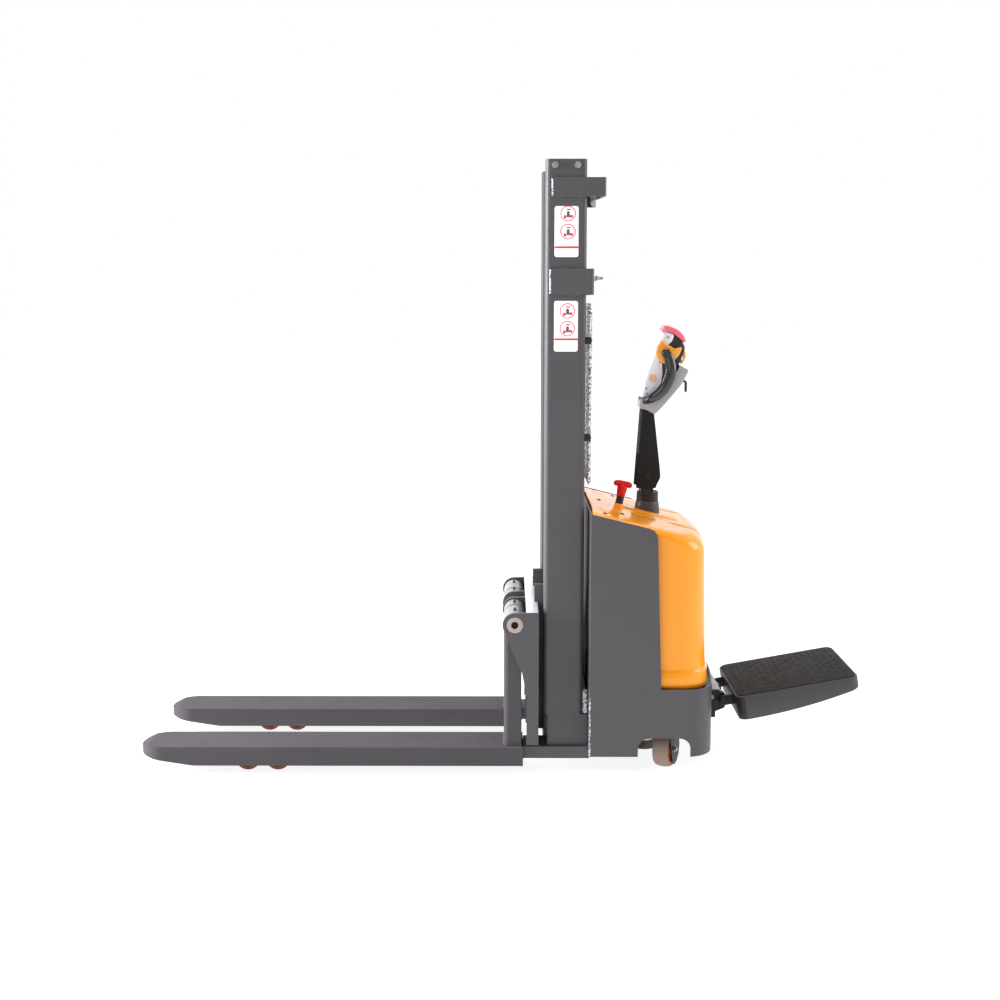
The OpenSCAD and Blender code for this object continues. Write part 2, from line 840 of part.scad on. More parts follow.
// Tray with deep sides, its under edge rising towards the tail
module platform_deck() {
    low = [[20, -47], [60, -47], [250, -37], [deck_len + 1, -tail_low], [deck_len + 1, tray_top],
        [20, tray_top]];
    color("#505052") at_deck() {
        intersection() {
            difference() {
                translate([0, 0, -60]) linear_extrude(tray_top + 60) deck_outline(0);
                translate([0, 0, -61]) linear_extrude(tray_top + 55) deck_outline(5);
            }
            y_plate(low, -far, far);
        }
        both() difference() {
            union() {
                y_rod(0, 0, 16, 96, 108);
                box(0, 46, 96, 108, -16, 16);
            }
            y_rod(0, 0, 9 + run, 90, 112);
        }
    }
}

module platform_mat() {
    color("#3c3c3c") at_deck() translate([0, 0, tray_top])
        linear_extrude(deck_top - tray_top) deck_outline(6);
}

module platform_bracket() {
    color(dark) at_face() {
        difference() {
            both() y_plate([[671, 130], [689, 130], [689, 150], [718, 162], [728, 190], [722, 206],
                [700, 218], [671, 218]], 80, 92);
            y_rod(hinge_x, hinge_z, 9, -120, 120);
        }
        box(669, 680, -92, 92, 130, 218);
        box(671, 700, -92, 92, 214, 222);
    }
}

module platform_pin() {
    color(bright) at_face() {
        y_rod(hinge_x, hinge_z, 9, -112, 112);
        both() y_rod(hinge_x, hinge_z, 13, 109, 114);
    }
}

module platform_springs() {
    coil_r = 13;
    color("#2b2b2e") at_face() both() for (i = [0 : 5])
        translate([hinge_x, 34 + 7 * i, hinge_z]) rotate([90, 0, 0])
            rotate_extrude() translate([coil_r, 0]) circle(r = 3);
}

chassis_frame();
leg_frame();
outer_mast();
mast_bolts();
mast_pads();
mesh_guard();
lift_cylinders();
load_wheel_axles();
batteries();
motor_controller();
hydraulic_unit();
hydraulic_hoses();
rear_cover();
stop_switch();
steering_bearing();
caster_mounts();
platform_bracket();
platform_pin();
platform_springs();
chain_anchors();
chain_rear();
load_wheel_front_left();
load_wheel_front_right();
load_wheel_rear_left();
load_wheel_rear_right();
inner_mast();
lift_rods();
chain_sheaves();
mast_rollers();
carriage_frame();
forks();
fork_shaft();
hub_bushes();
chain_front();
carriage_rollers_upper();
carriage_rollers_lower();
drive_turret();
drive_motor();
gear_case();
steering_column();
tiller_boot();
drive_tyre();
drive_hub();
tiller_arm();
tiller_head();
tiller_grips();
tiller_pin();
throttle_knobs();
reversing_button();
lift_button();
lower_button();
horn_button();
key();
stop_handle();
platform_deck();
platform_mat();
caster_left();
caster_right();
caster_wheel_left();
caster_wheel_right();
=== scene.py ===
import json
import math

import bmesh
import bpy
from mathutils import Matrix, Vector


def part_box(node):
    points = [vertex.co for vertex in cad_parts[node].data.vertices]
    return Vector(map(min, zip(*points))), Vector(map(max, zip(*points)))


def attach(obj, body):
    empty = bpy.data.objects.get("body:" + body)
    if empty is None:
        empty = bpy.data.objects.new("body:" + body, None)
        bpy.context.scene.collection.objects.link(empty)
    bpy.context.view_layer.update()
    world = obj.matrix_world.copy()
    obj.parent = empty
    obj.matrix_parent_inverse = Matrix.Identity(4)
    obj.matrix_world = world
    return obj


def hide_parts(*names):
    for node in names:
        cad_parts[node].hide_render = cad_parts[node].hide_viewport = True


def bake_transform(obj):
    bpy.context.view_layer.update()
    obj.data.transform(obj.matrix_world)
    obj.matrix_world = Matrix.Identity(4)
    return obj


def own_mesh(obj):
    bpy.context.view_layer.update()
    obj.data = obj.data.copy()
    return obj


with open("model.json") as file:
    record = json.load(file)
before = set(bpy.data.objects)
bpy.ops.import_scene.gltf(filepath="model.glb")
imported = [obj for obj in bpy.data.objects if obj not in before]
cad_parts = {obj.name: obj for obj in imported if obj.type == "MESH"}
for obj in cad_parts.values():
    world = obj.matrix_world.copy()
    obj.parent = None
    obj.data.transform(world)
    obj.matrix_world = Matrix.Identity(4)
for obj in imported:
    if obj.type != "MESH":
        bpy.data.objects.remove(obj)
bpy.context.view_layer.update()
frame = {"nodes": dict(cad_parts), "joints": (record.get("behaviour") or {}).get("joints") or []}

MM = 0.001
FORK_LENGTH = 1150
FACE_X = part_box("forks")[0].x / MM + FORK_LENGTH    # front faces of the fork shanks, in millimetres
JOINTS = {joint["name"]: joint for joint in frame["joints"]}
Y_AXIS = Vector((0, 1, 0))
Z_AXIS = Vector((0, 0, 1))
SIDES = (-1, 1)


# ---- measuring the frame, in millimetres from the fork faces ----

def span(node):
    """Lowest and highest corner of a CAD node."""
    shift = Vector((FACE_X, 0, 0))
    low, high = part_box(node)
    return low / MM - shift, high / MM - shift


def pivot(joint):
    """A point on a hinge's axis."""
    return Vector(JOINTS[joint]["pos_m"]) / MM - Vector((FACE_X, 0, 0))


def middle(node):
    low, high = span(node)
    return (low + high) / 2


# ---- curves ----

def blend_step(value, start, end):
    """0 before start, 1 after end and smooth between them."""
    t = min(1, max(0, (value - start) / (end - start)))
    return t * t * (3 - 2 * t)


def catmull(a, b, c, d, t):
    return 0.5 * ((2 * b) + (c - a) * t + (2 * a - 5 * b + 4 * c - d) * t * t
                  + (3 * b - a - 3 * c + d) * t * t * t)


def closed_curve(points, per=6):
    """A smooth closed loop through 2D points."""
    p = [Vector(q) for q in points]
    n = len(p)
    return [catmull(p[i - 1], p[i], p[(i + 1) % n], p[(i + 2) % n], k / per)
            for i in range(n) for k in range(per)]


def open_curve(points, per=8):
    """A smooth path through 3D points."""
    p = [Vector(q) for q in points]
    p = [2 * p[0] - p[1]] + p + [2 * p[-1] - p[-2]]
    path = [catmull(p[i - 1], p[i], p[i + 1], p[i + 2], k / per)
            for i in range(1, len(p) - 2) for k in range(per)]
    return path + [p[-2]]


def rounded_rect(u0, u1, v0, v1, r, steps=6):
    """Corners of a rectangle turned into arcs, as a closed loop of 2D points."""
    loop = []
    for cu, cv, start in ((u1 - r, v1 - r, 0), (u0 + r, v1 - r, 90), (u0 + r, v0 + r, 180),
                          (u1 - r, v0 + r, 270)):
        for k in range(steps + 1):
            a = math.radians(start + 90 * k / steps)
            loop.append(Vector((cu + r * math.cos(a), cv + r * math.sin(a))))
    return loop


def inset(loop, distance):
    """A closed 2D loop moved inwards."""
    n = len(loop)
    area = sum(loop[i - 1].x * loop[i].y - loop[i].x * loop[i - 1].y for i in range(n))
    side = 1 if area > 0 else -1
    moved = []
    for i in range(n):
        along = loop[(i + 1) % n] - loop[i - 1]
        along = along.normalized() if along.length > 1e-9 else Vector((1, 0))
        moved.append(loop[i] + Vector((-along.y, along.x)) * side * distance)
    return moved


def axes_of(direction, reference=Y_AXIS):
    """Two unit vectors square to a direction."""
    direction = Vector(direction).normalized()
    if abs(direction.dot(reference)) > 0.95:
        reference = Vector((1, 0, 0)) if abs(direction.x) < 0.9 else Z_AXIS
    u = (reference - direction * direction.dot(reference)).normalized()
    return u, direction.cross(u)


# ---- building meshes ----

class Shape:
    """A mesh being built, in millimetres from the fork faces, with one material number per face."""

    def __init__(self, place=None):
        self.points, self.faces, self.numbers = [], [], []
        self.place = place or Matrix.Identity(4)

    def add(self, points, faces):
        first = len(self.points)
        self.points += [self.place @ Vector(p) for p in points]
        self.faces += [[first + i for i in face] for face in faces]
        self.numbers += [0] * len(faces)

    def rings(self, rings, closed=True, start=True, end=True, loop=False):
        """Joins rings of equally many points; start and end close the first and last ring."""
        n = len(rings[0])
        faces = []
        for r in range(len(rings) if loop else len(rings) - 1):
            q = (r + 1) % len(rings)
            for i in range(n if closed else n - 1):
                j = (i + 1) % n
                faces.append((r * n + i, r * n + j, q * n + j, q * n + i))
        if start and not loop:
            faces.append(tuple(reversed(range(n))))
        if end and not loop:
            faces.append(tuple((len(rings) - 1) * n + i for i in range(n)))
        self.add([p for ring in rings for p in ring], faces)

    def slab(self, loop, low, high, r=1.0, axis="y", crown=0.0, steps=3):
        """A plate with the outline loop from low to high along an axis, its edges rounded by r."""
        levels = []
        for end, side in ((low, 1), (high, -1)):
            arc = []
            if crown:
                arc += [(end - side * crown, 0, 0.1), (end - side * crown * 0.6, 0, 0.6)]
            for k in range(steps + 1):
                a = math.radians(90 - 90 * k / steps)
                arc.append((end + side * r * (1 - math.sin(a)), r * (1 - math.cos(a)), 1))
            levels += arc if side == 1 else arc[::-1]
        centre = sum((Vector(p) for p in loop), Vector((0, 0))) / len(loop)
        rings = []
        for level, amount, share in levels:
            flat = inset(loop, r if share < 1 else amount)
            flat = [centre + (p - centre) * share for p in flat]
            rings.append([self.on_axis(p, level, axis) for p in flat])
        self.rings(rings)

    @staticmethod
    def on_axis(p, level, axis):
        if axis == "y":
            return Vector((p[0], level, p[1]))
        if axis == "z":
            return Vector((p[0], p[1], level))
        return Vector((level, p[0], p[1]))

    def box(self, low, high, r=0.8):
        loop = rounded_rect(low[0], high[0], low[2], high[2], max(r, 0.05), 2)
        self.slab(loop, low[1], high[1], r, steps=2)

    def lathe(self, profile, origin, axis, sides=40, loop=False):
        """Turns (radius, along) points round an axis through origin; loop joins the last to the first."""
        direction = Vector(axis).normalized()
        u, v = axes_of(direction)
        rings = []
        for radius, along in profile:
            rings.append([Vector(origin) + direction * along
                          + (u * math.cos(a) + v * math.sin(a)) * max(radius, 0.02)
                          for a in (2 * math.pi * k / sides for k in range(sides))])
        self.rings(rings, loop=loop)

    def tube(self, path, size, sides=12, reference=Y_AXIS, dome=False, closed=False):
        """Sweeps an ellipse along a path; size(share) gives its half-widths along reference and across it."""
        count = len(path)
        rings = []
        stations = []
        for i, p in enumerate(path):
            ahead = path[(i + 1) % count] if closed else path[min(i + 1, count - 1)]
            behind = path[i - 1] if closed else path[max(i - 1, 0)]
            stations.append((Vector(p), (Vector(ahead) - Vector(behind)).normalized(),
                             i / max(count - 1, 1), 1))
        if dome:
            first, last = stations[0], stations[-1]
            for entry, side in ((first, -1), (last, 1)):
                reach = sum(size(entry[2])) / 2
                extra = [(entry[0] + entry[1] * side * reach * math.sin(a), entry[1], entry[2], math.cos(a))
                         for a in (math.radians(d) for d in (28, 52, 72, 86))]
                stations = extra[::-1] + stations if side < 0 else stations + extra
        for p, along, share, scale in stations:
            u, v = axes_of(along, reference)
            a_size, b_size = size(share)
            rings.append([p + u * math.cos(t) * a_size * scale + v * math.sin(t) * b_size * scale
                          for t in (2 * math.pi * k / sides for k in range(sides))])
        self.rings(rings, loop=closed)

    def rod(self, path, r, sides=10, **options):
        self.tube(path, lambda share: (r, r), sides, **options)

    def bead(self, start, end, r=2.6, pitch=5.0):
        """A weld bead with ripples between two points."""
        start, end = Vector(start), Vector(end)
        length = (end - start).length
        count = max(4, int(length / pitch * 4))
        path = [start.lerp(end, k / count) for k in range(count + 1)]
        ripple = 2 * math.pi * length / pitch
        self.tube(path, lambda s: (r * (1 + 0.12 * math.sin(ripple * s)),
                                   r * (1 + 0.12 * math.sin(ripple * s))),
                  8, reference=Vector((0.3, 0.5, 0.8)))

    def hex_bolt(self, origin, axis, r, height):
        """A hexagon head with a chamfer on a washer, standing on origin."""
        self.lathe([(r * 1.35, 0), (r * 1.35, r * 0.2), (r * 0.3, r * 0.2)], origin, axis, 24)
        base = Vector(origin) + Vector(axis).normalized() * r * 0.2
        self.lathe([(r, 0), (r, height * 0.8), (r * 0.84, height), (r * 0.3, height)], base, axis, 6)

    def pan_screw(self, origin, axis, r):
        """A low round head with a socket."""
        self.lathe([(r, 0), (r, r * 0.25), (r * 0.85, r * 0.5), (r * 0.5, r * 0.62), (r * 0.42, r * 0.62),
                    (r * 0.38, r * 0.3), (0.1, r * 0.3)], origin, axis, 20)

    def done(self, name, body, materials, slot, replaces=(), sharp=38, bevel=0.0, thickness=0.0):
        """Makes the object, smooth shaded, and lets it ride on a body."""
        mesh = bpy.data.meshes.new(name)
        shift = Vector((FACE_X, 0, 0))
        mesh.from_pydata([tuple((p + shift) * MM) for p in self.points], [], self.faces)
        for material in (materials if isinstance(materials, (list, tuple)) else [materials]):
            mesh.materials.append(material)
        mesh.polygons.foreach_set("material_index", self.numbers)
        clean = bmesh.new()
        clean.from_mesh(mesh)
        bmesh.ops.remove_doubles(clean, verts=clean.verts, dist=0.00002)
        bmesh.ops.recalc_face_normals(clean, faces=clean.faces)
        clean.to_mesh(mesh)
        clean.free()
        mesh.shade_smooth()
        mesh.set_sharp_from_angle(angle=math.radians(sharp))
        piece = bpy.data.objects.new(name, mesh)
        bpy.context.scene.collection.objects.link(piece)
        if thickness:
            shell = piece.modifiers.new("wall", "SOLIDIFY")
            shell.thickness = thickness * MM
            shell.offset = -1
        if bevel:
            soften(piece, bevel)
            piece.modifiers.new("shading", "WEIGHTED_NORMAL").weight = 100
        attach(piece, body)
        if replaces:
            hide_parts(*replaces)
        return piece


def soften(piece, width):
    """Rounds a mesh's sharp edges with a bevel."""
    edge = piece.modifiers.new("edges", "BEVEL")
    edge.width = width * MM
    edge.segments = 2
    edge.limit_method = "ANGLE"
    edge.angle_limit = math.radians(32)


# ---- materials ----

def srgb(colour):
    """A linear colour with alpha from a #rrggbb name."""
    values = [int(colour[i:i + 2], 16) / 255 for i in (1, 3, 5)]
    return tuple(v / 12.92 if v <= 0.04045 else ((v + 0.055) / 1.055) ** 2.4 for v in values) + (1,)


class Finish:
    """A procedural material: a principled shader with helpers that add nodes."""

    def __init__(self, name, metal=0.0, coat=0.0, specular=0.5):
        self.material = bpy.data.materials.new(name)
        self.material.use_nodes = True
        self.tree = self.material.node_tree
        self.shader = self.tree.nodes["Principled BSDF"]
        self.shader.inputs["Metallic"].default_value = metal
        self.shader.inputs["Coat Weight"].default_value = coat
        self.shader.inputs["Coat Roughness"].default_value = 0.12
        self.shader.inputs["Specular IOR Level"].default_value = specular
        self.coords = self.tree.nodes.new("ShaderNodeTexCoord").outputs["Object"]
        self.height = None

    def link(self, source, socket):
        if hasattr(source, "is_output"):
            self.tree.links.new(source, socket)
        else:
            socket.default_value = source

    def math(self, operation, a, b=0.0):
        node = self.tree.nodes.new("ShaderNodeMath")
        node.operation = operation
        self.link(a, node.inputs[0])
        self.link(b, node.inputs[1])
        return node.outputs[0]

    def stretched(self, scale):
        node = self.tree.nodes.new("ShaderNodeMapping")
        self.link(self.coords, node.inputs["Vector"])
        node.inputs["Scale"].default_value = scale
        return node.outputs[0]

    def noise(self, scale, detail=3.0, stretch=None):
        node = self.tree.nodes.new("ShaderNodeTexNoise")
        self.link(self.stretched(stretch) if stretch else self.coords, node.inputs["Vector"])
        node.inputs["Scale"].default_value = scale
        node.inputs["Detail"].default_value = detail
        node.inputs["Roughness"].default_value = 0.55
        return node.outputs[0]

    def cells(self, scale):
        node = self.tree.nodes.new("ShaderNodeTexVoronoi")
        self.link(self.coords, node.inputs["Vector"])
        node.inputs["Scale"].default_value = scale
        return node.outputs[0]

    def wave(self, scale, direction):
        node = self.tree.nodes.new("ShaderNodeTexWave")
        node.bands_direction = direction
        self.link(self.coords, node.inputs["Vector"])
        node.inputs["Scale"].default_value = scale
        return node.outputs["Fac"]

    def remap(self, value, low, high, start=0.0, end=1.0):
        node = self.tree.nodes.new("ShaderNodeMapRange")
        self.link(value, node.inputs["Value"])
        for socket, number in (("From Min", low), ("From Max", high), ("To Min", start), ("To Max", end)):
            node.inputs[socket].default_value = number
        return node.outputs[0]

    def mix(self, amount, a, b):
        node = self.tree.nodes.new("ShaderNodeMix")
        node.data_type = "RGBA"
        self.link(amount, node.inputs["Factor"])
        self.link(a, node.inputs["A"])
        self.link(b, node.inputs["B"])
        return node.outputs["Result"]

    def edge_highlight_mask(self, radius):
        """Mask for a painted highlight along the edges: 1 on an edge and 0 on a flat face, broken up by
        noise.
        """
        rounded = self.tree.nodes.new("ShaderNodeBevel")
        rounded.samples = 2
        rounded.inputs["Radius"].default_value = radius * MM
        plain = self.tree.nodes.new("ShaderNodeNewGeometry")
        match = self.tree.nodes.new("ShaderNodeVectorMath")
        match.operation = "DOT_PRODUCT"
        self.link(rounded.outputs[0], match.inputs[0])
        self.link(plain.outputs["Normal"], match.inputs[1])
        edge = self.remap(match.outputs["Value"], 0.985, 0.86)
        return self.math("MULTIPLY", edge, self.remap(self.noise(38, 4), 0.45, 0.66))

    def colour(self, value):
        self.link(value, self.shader.inputs["Base Color"])
        return self

    def rough(self, value):
        self.link(value, self.shader.inputs["Roughness"])
        return self

    def bump(self, height, distance):
        """Adds a layer of relief, with its depth in millimetres."""
        node = self.tree.nodes.new("ShaderNodeBump")
        self.link(height, node.inputs["Height"])
        node.inputs["Distance"].default_value = distance * MM
        if self.height is not None:
            self.link(self.height, node.inputs["Normal"])
        self.height = node.outputs[0]
        self.link(self.height, self.shader.inputs["Normal"])
        return self


def tone(colour, factor):
    """A linear colour made darker or lighter."""
    linear = srgb(colour)
    return tuple(min(1, c * factor) for c in linear[:3]) + (1,)


def coated(name, colour, rough=0.4, coat=0.0, metal=0.0, spread=0.08, scale=5.0, grain=0.03, grain_scale=900,
           edge_highlight=None, specular=0.5):
    """Paint or moulded plastic: drifting colour, a fine grain and, if asked, a painted highlight along the
    edges.
    """
    made = Finish(name, metal, coat, specular)
    drift = made.remap(made.noise(scale, 4), 0.3, 0.7)
    base = made.mix(drift, tone(colour, 1 - spread), tone(colour, 1 + spread))
    specks = made.remap(made.noise(grain_scale * 0.6, 2), 0.35, 0.75, 0, 0.22)
    base = made.mix(specks, base, tone(colour, 1 - 2.2 * spread))
    roughness = made.remap(made.noise(scale * 7, 5), 0.3, 0.7, rough * 0.86, rough * 1.16)
    # A lighter colour on the edges is a painted highlight for the light that rounded corners catch.
    if edge_highlight:
        edge = made.edge_highlight_mask(1.4)
        base = made.mix(edge, base, srgb(edge_highlight))
        roughness = made.math("ADD", roughness, made.math("MULTIPLY", edge, 0.12))
    made.colour(base).rough(roughness)
    made.bump(made.noise(grain_scale, 2), grain)
    return made.material


def speckled(name, dark, light, scale):
    """Crimped wire or ground weld: small dark flecks and light flecks that are partly painted glints."""
    made = Finish(name, 0.2, 0.2)
    glint_fleck = made.remap(made.noise(scale, 2), 0.46, 0.54)
    made.colour(made.mix(glint_fleck, srgb(dark), srgb(light))).rough(0.35)
    made.bump(made.noise(scale * 2, 2), 0.3)
    return made.material


def metal(name, colour, rough=0.3, streak=(1, 1, 1), spread=0.12, depth=0.01, stain=None):
    """Bare metal with a drawn or turned grain along the short side of streak."""
    made = Finish(name, metal=1.0)
    lines = made.noise(220, 4, stretch=streak)
    base = made.mix(made.remap(lines, 0.3, 0.7), tone(colour, 1 - spread), tone(colour, 1 + spread))
    if stain:
        patches = made.remap(made.noise(16, 5), 0.5, 0.68, 0, 0.75)
        base = made.mix(patches, base, srgb(stain))
    made.colour(base)
    made.rough(made.remap(made.noise(30, 5), 0.3, 0.7, rough * 0.75, rough * 1.3))
    made.bump(lines, depth)
    return made.material


def moulded_rubber(name, colour, rough=0.62, dust="#8a8178", amount=0.3, grain=0.12, grain_scale=320):
    """Rubber with a pebbled skin and dust in its hollows."""
    made = Finish(name, specular=0.25)
    pebble = made.cells(grain_scale)
    dirt = made.math("MULTIPLY", made.remap(made.noise(22, 6), 0.42, 0.72), amount)
    base = made.mix(made.remap(made.noise(6, 3), 0.3, 0.7), tone(colour, 0.88), tone(colour, 1.12))
    made.colour(made.mix(dirt, base, srgb(dust)))
    made.rough(made.remap(made.noise(40, 4), 0.3, 0.7, rough * 0.88, min(1, rough * 1.15)))
    made.bump(pebble, grain)
    return made.material


def braided(name, colour):
    """Hose skin with a crossed braid."""
    made = Finish(name)
    crossing = made.math("MULTIPLY", made.wave(160, "DIAGONAL"), made.wave(190, "Z"))
    made.colour(made.mix(crossing, tone(colour, 0.7), tone(colour, 1.6)))
    made.rough(made.remap(crossing, 0, 1, 0.62, 0.42))
    made.bump(crossing, 0.25)
    return made.material


def polyurethane(name, colour, dirt):
    """Wheel polyurethane with patches of dust ground into it."""
    made = Finish(name, coat=0.15)
    drift = made.remap(made.noise(30, 4), 0.3, 0.7)
    base = made.mix(drift, tone(colour, 0.8), tone(colour, 1.15))
    dust = made.remap(made.noise(75, 6), 0.45, 0.7, 0.0, 0.55)
    made.colour(made.mix(dust, base, srgb(dirt)))
    made.rough(made.remap(made.noise(90, 3), 0.3, 0.7, 0.36, 0.6))
    made.bump(made.noise(500, 3), 0.05)
    return made.material


# The lighter edge colours of these paints are painted highlights on rounded edges.
PAINT = coated("frame_paint", "#4d4a4e", 0.4, spread=0.045, edge_highlight="#8b8890", specular=0.4)
FORK_PAINT = coated("fork_paint", "#504d51", 0.7, spread=0.06, edge_highlight="#77747b", specular=0.05)
# The inner mast's paint is lighter than the frame paint as painted light: it stands in for the light on its
# front edges from the left.
PAINT_INNER_LIGHTENED = coated("inner_mast_paint", "#77747a", 0.4, spread=0.05, edge_highlight="#8d8a92", specular=0.4)
ORANGE = coated("cover_orange", "#ff9f18", 0.3, coat=0.7, spread=0.03, scale=2.5, grain=0.012,
                grain_scale=420, specular=0.15)
BLACK_PAINT = coated("black_paint", "#232224", 0.45, spread=0.14, edge_highlight="#5b5a5d", specular=0.3)
ARM_BLACK = coated("arm_black", "#2b2a2b", 0.75, spread=0.06, specular=0.06)
BLACK_PLASTIC = coated("black_plastic", "#2a2a2c", 0.5, spread=0.12, grain=0.09, grain_scale=520,
                       specular=0.4)
# Ring and sleeve are one dark rubber: the ring is painted darker to offset the sky's reflection on its slope,
# and the sleeve painted lighter to offset the shade and orange bounce around it.
BOOT_RING_DARKENED = coated("boot_ring_rubber_darkened", "#494648", 0.45, spread=0.06, specular=0.3)
BOOT_SLEEVE_LIGHTENED = coated("boot_sleeve", "#6b686b", 0.32, coat=0.3, spread=0.06)
GRIP = coated("grip_plastic", "#1d1c1f", 0.2, coat=0.6, spread=0.1, grain=0.01)
SILVER = coated("silver_plastic", "#e9e8f0", 0.4, coat=0.3, metal=0.2, spread=0.04, grain=0.02,
                grain_scale=1500)
GREY_PLASTIC = coated("grey_plastic", "#a5a4a8", 0.46, coat=0.1, metal=0.15, spread=0.07)
TYRE = moulded_rubber("drive_rubber", "#3f3b3a", 0.7, amount=0.45)
TREAD = moulded_rubber("wheel_tread", "#9a857b", 0.6, dust="#9a8f86", amount=0.4, grain=0.05)
RUST = polyurethane("polyurethane", "#c8641f", "#7d5a48")
LOAD_RUST = polyurethane("load_polyurethane", "#7a3316", "#7d5a48")
STEEL = metal("bright_steel", "#c3c4c8", 0.3, (1, 1, 8))
BARE_TUBE = coated("bare_tube", "#a9a7aa", 0.42, metal=0.55, spread=0.12, grain=0.03, scale=24)
DULL_STEEL = metal("dull_steel", "#8b8b8f", 0.42, (6, 1, 6), stain="#6a675f")
CHROME = metal("chrome_rod", "#dcdde0", 0.09, (6, 6, 1), spread=0.03, depth=0.002)
BRONZE = coated("bush_bronze", "#ac9c93", 0.45, spread=0.06)
CHAIN = metal("chain_steel", "#5a5755", 0.4, (1, 6, 1), stain="#2a2825")
STRIP = coated("bare_strip", "#e3e1e7", 0.38, coat=0.1, metal=0.25, spread=0.05, grain=0.03, scale=14)
GREASE = coated("old_grease", "#2e1c10", 0.6, specular=0.2)
CAST = coated("cast_grey", "#5c5e63", 0.55, spread=0.1, grain=0.25, grain_scale=260)
DARK_CAST = coated("dark_cast", "#37383c", 0.5, spread=0.12, grain=0.2, grain_scale=300)
DECK = coated("deck_plastic", "#48484a", 0.52, spread=0.05, grain=0.07, grain_scale=420, specular=0.35)
MAT = moulded_rubber("mat_rubber", "#272728", 0.8, dust="#3b3937", amount=0.25, grain=0.06, grain_scale=600)
RED = coated("red_plastic", "#d5121e", 0.34, spread=0.03, specular=0.25)
CORAL = coated("button_red", "#f0707e", 0.36, coat=0.3, spread=0.05)
KNOB = coated("knob_orange", "#ffa326", 0.32, coat=0.45, spread=0.06)
YELLOW = coated("yellow_plastic", "#e0b020", 0.35, coat=0.3)
NYLON = coated("nylon", "#d8d5cc", 0.55, spread=0.05)
# The guard wire's near-white flecks are partly painted glints on the wires.
WIRE = speckled("guard_wire", "#5b5a60", "#f2f1f5", 120)
HOSE = braided("hose_rubber", "#232325")
LABEL = coated("label_film", "#fbf9fb", 0.3, coat=0.5, spread=0.015)
LABEL_RED = coated("label_red", "#d23c48", 0.35, spread=0.04)
LABEL_GREY = coated("label_grey", "#5a5559", 0.4, spread=0.04)
CABLE_RED = moulded_rubber("cable_red", "#a31f22", 0.45, amount=0.1)
# The weld's light flecks are partly painted glints.
WELD = speckled("ground_weld", "#5f5d62", "#c9c8cc", 170)

CAD_FINISH = {
    "chassis_frame": PAINT, "leg_frame": PAINT, "outer_mast": PAINT, "mast_bolts": STEEL, "mast_pads": NYLON,
    "lift_cylinders": BLACK_PAINT, "load_wheel_axles": STEEL, "batteries": BLACK_PLASTIC,
    "motor_controller": DULL_STEEL, "hydraulic_unit": CAST, "hydraulic_hoses": HOSE,
    "steering_bearing": STEEL, "caster_mounts": PAINT, "platform_bracket": BLACK_PAINT,
    "platform_pin": STEEL, "chain_anchors": STEEL, "inner_mast": PAINT_INNER_LIGHTENED, "lift_rods": CHROME,
    "chain_sheaves": DULL_STEEL, "mast_rollers": DULL_STEEL, "carriage_frame": PAINT, "forks": FORK_PAINT,
    "fork_shaft": STEEL, "hub_bushes": BRONZE, "carriage_rollers_upper": DULL_STEEL,
    "carriage_rollers_lower": DULL_STEEL, "drive_turret": CAST, "drive_motor": DARK_CAST, "gear_case": CAST,
    "steering_column": BLACK_PAINT, "drive_hub": STEEL, "tiller_pin": BLACK_PAINT,
    "caster_left": BLACK_PAINT, "caster_right": BLACK_PAINT, "stop_switch": BLACK_PLASTIC,
}
BIG_EDGES = {"forks": 1.6, "outer_mast": 1.2, "carriage_frame": 1.4, "chassis_frame": 1.2, "leg_frame": 1.4,
             "batteries": 2.5}


def dress_cad():
    """Gives every shown CAD node its finish and softened edges."""
    for name, material in CAD_FINISH.items():
        node = frame["nodes"][name]
        node.data.materials.clear()
        node.data.materials.append(material)
        normals = node.data.attributes.get("custom_normal")
        if normals:
            node.data.attributes.remove(normals)
        node.data.shade_smooth()
        weld = node.modifiers.new("join", "WELD")
        weld.merge_threshold = 0.02 * MM
        soften(node, BIG_EDGES.get(name, 0.7))
        node.modifiers.new("shading", "WEIGHTED_NORMAL").weight = 100


# ---- cover ----

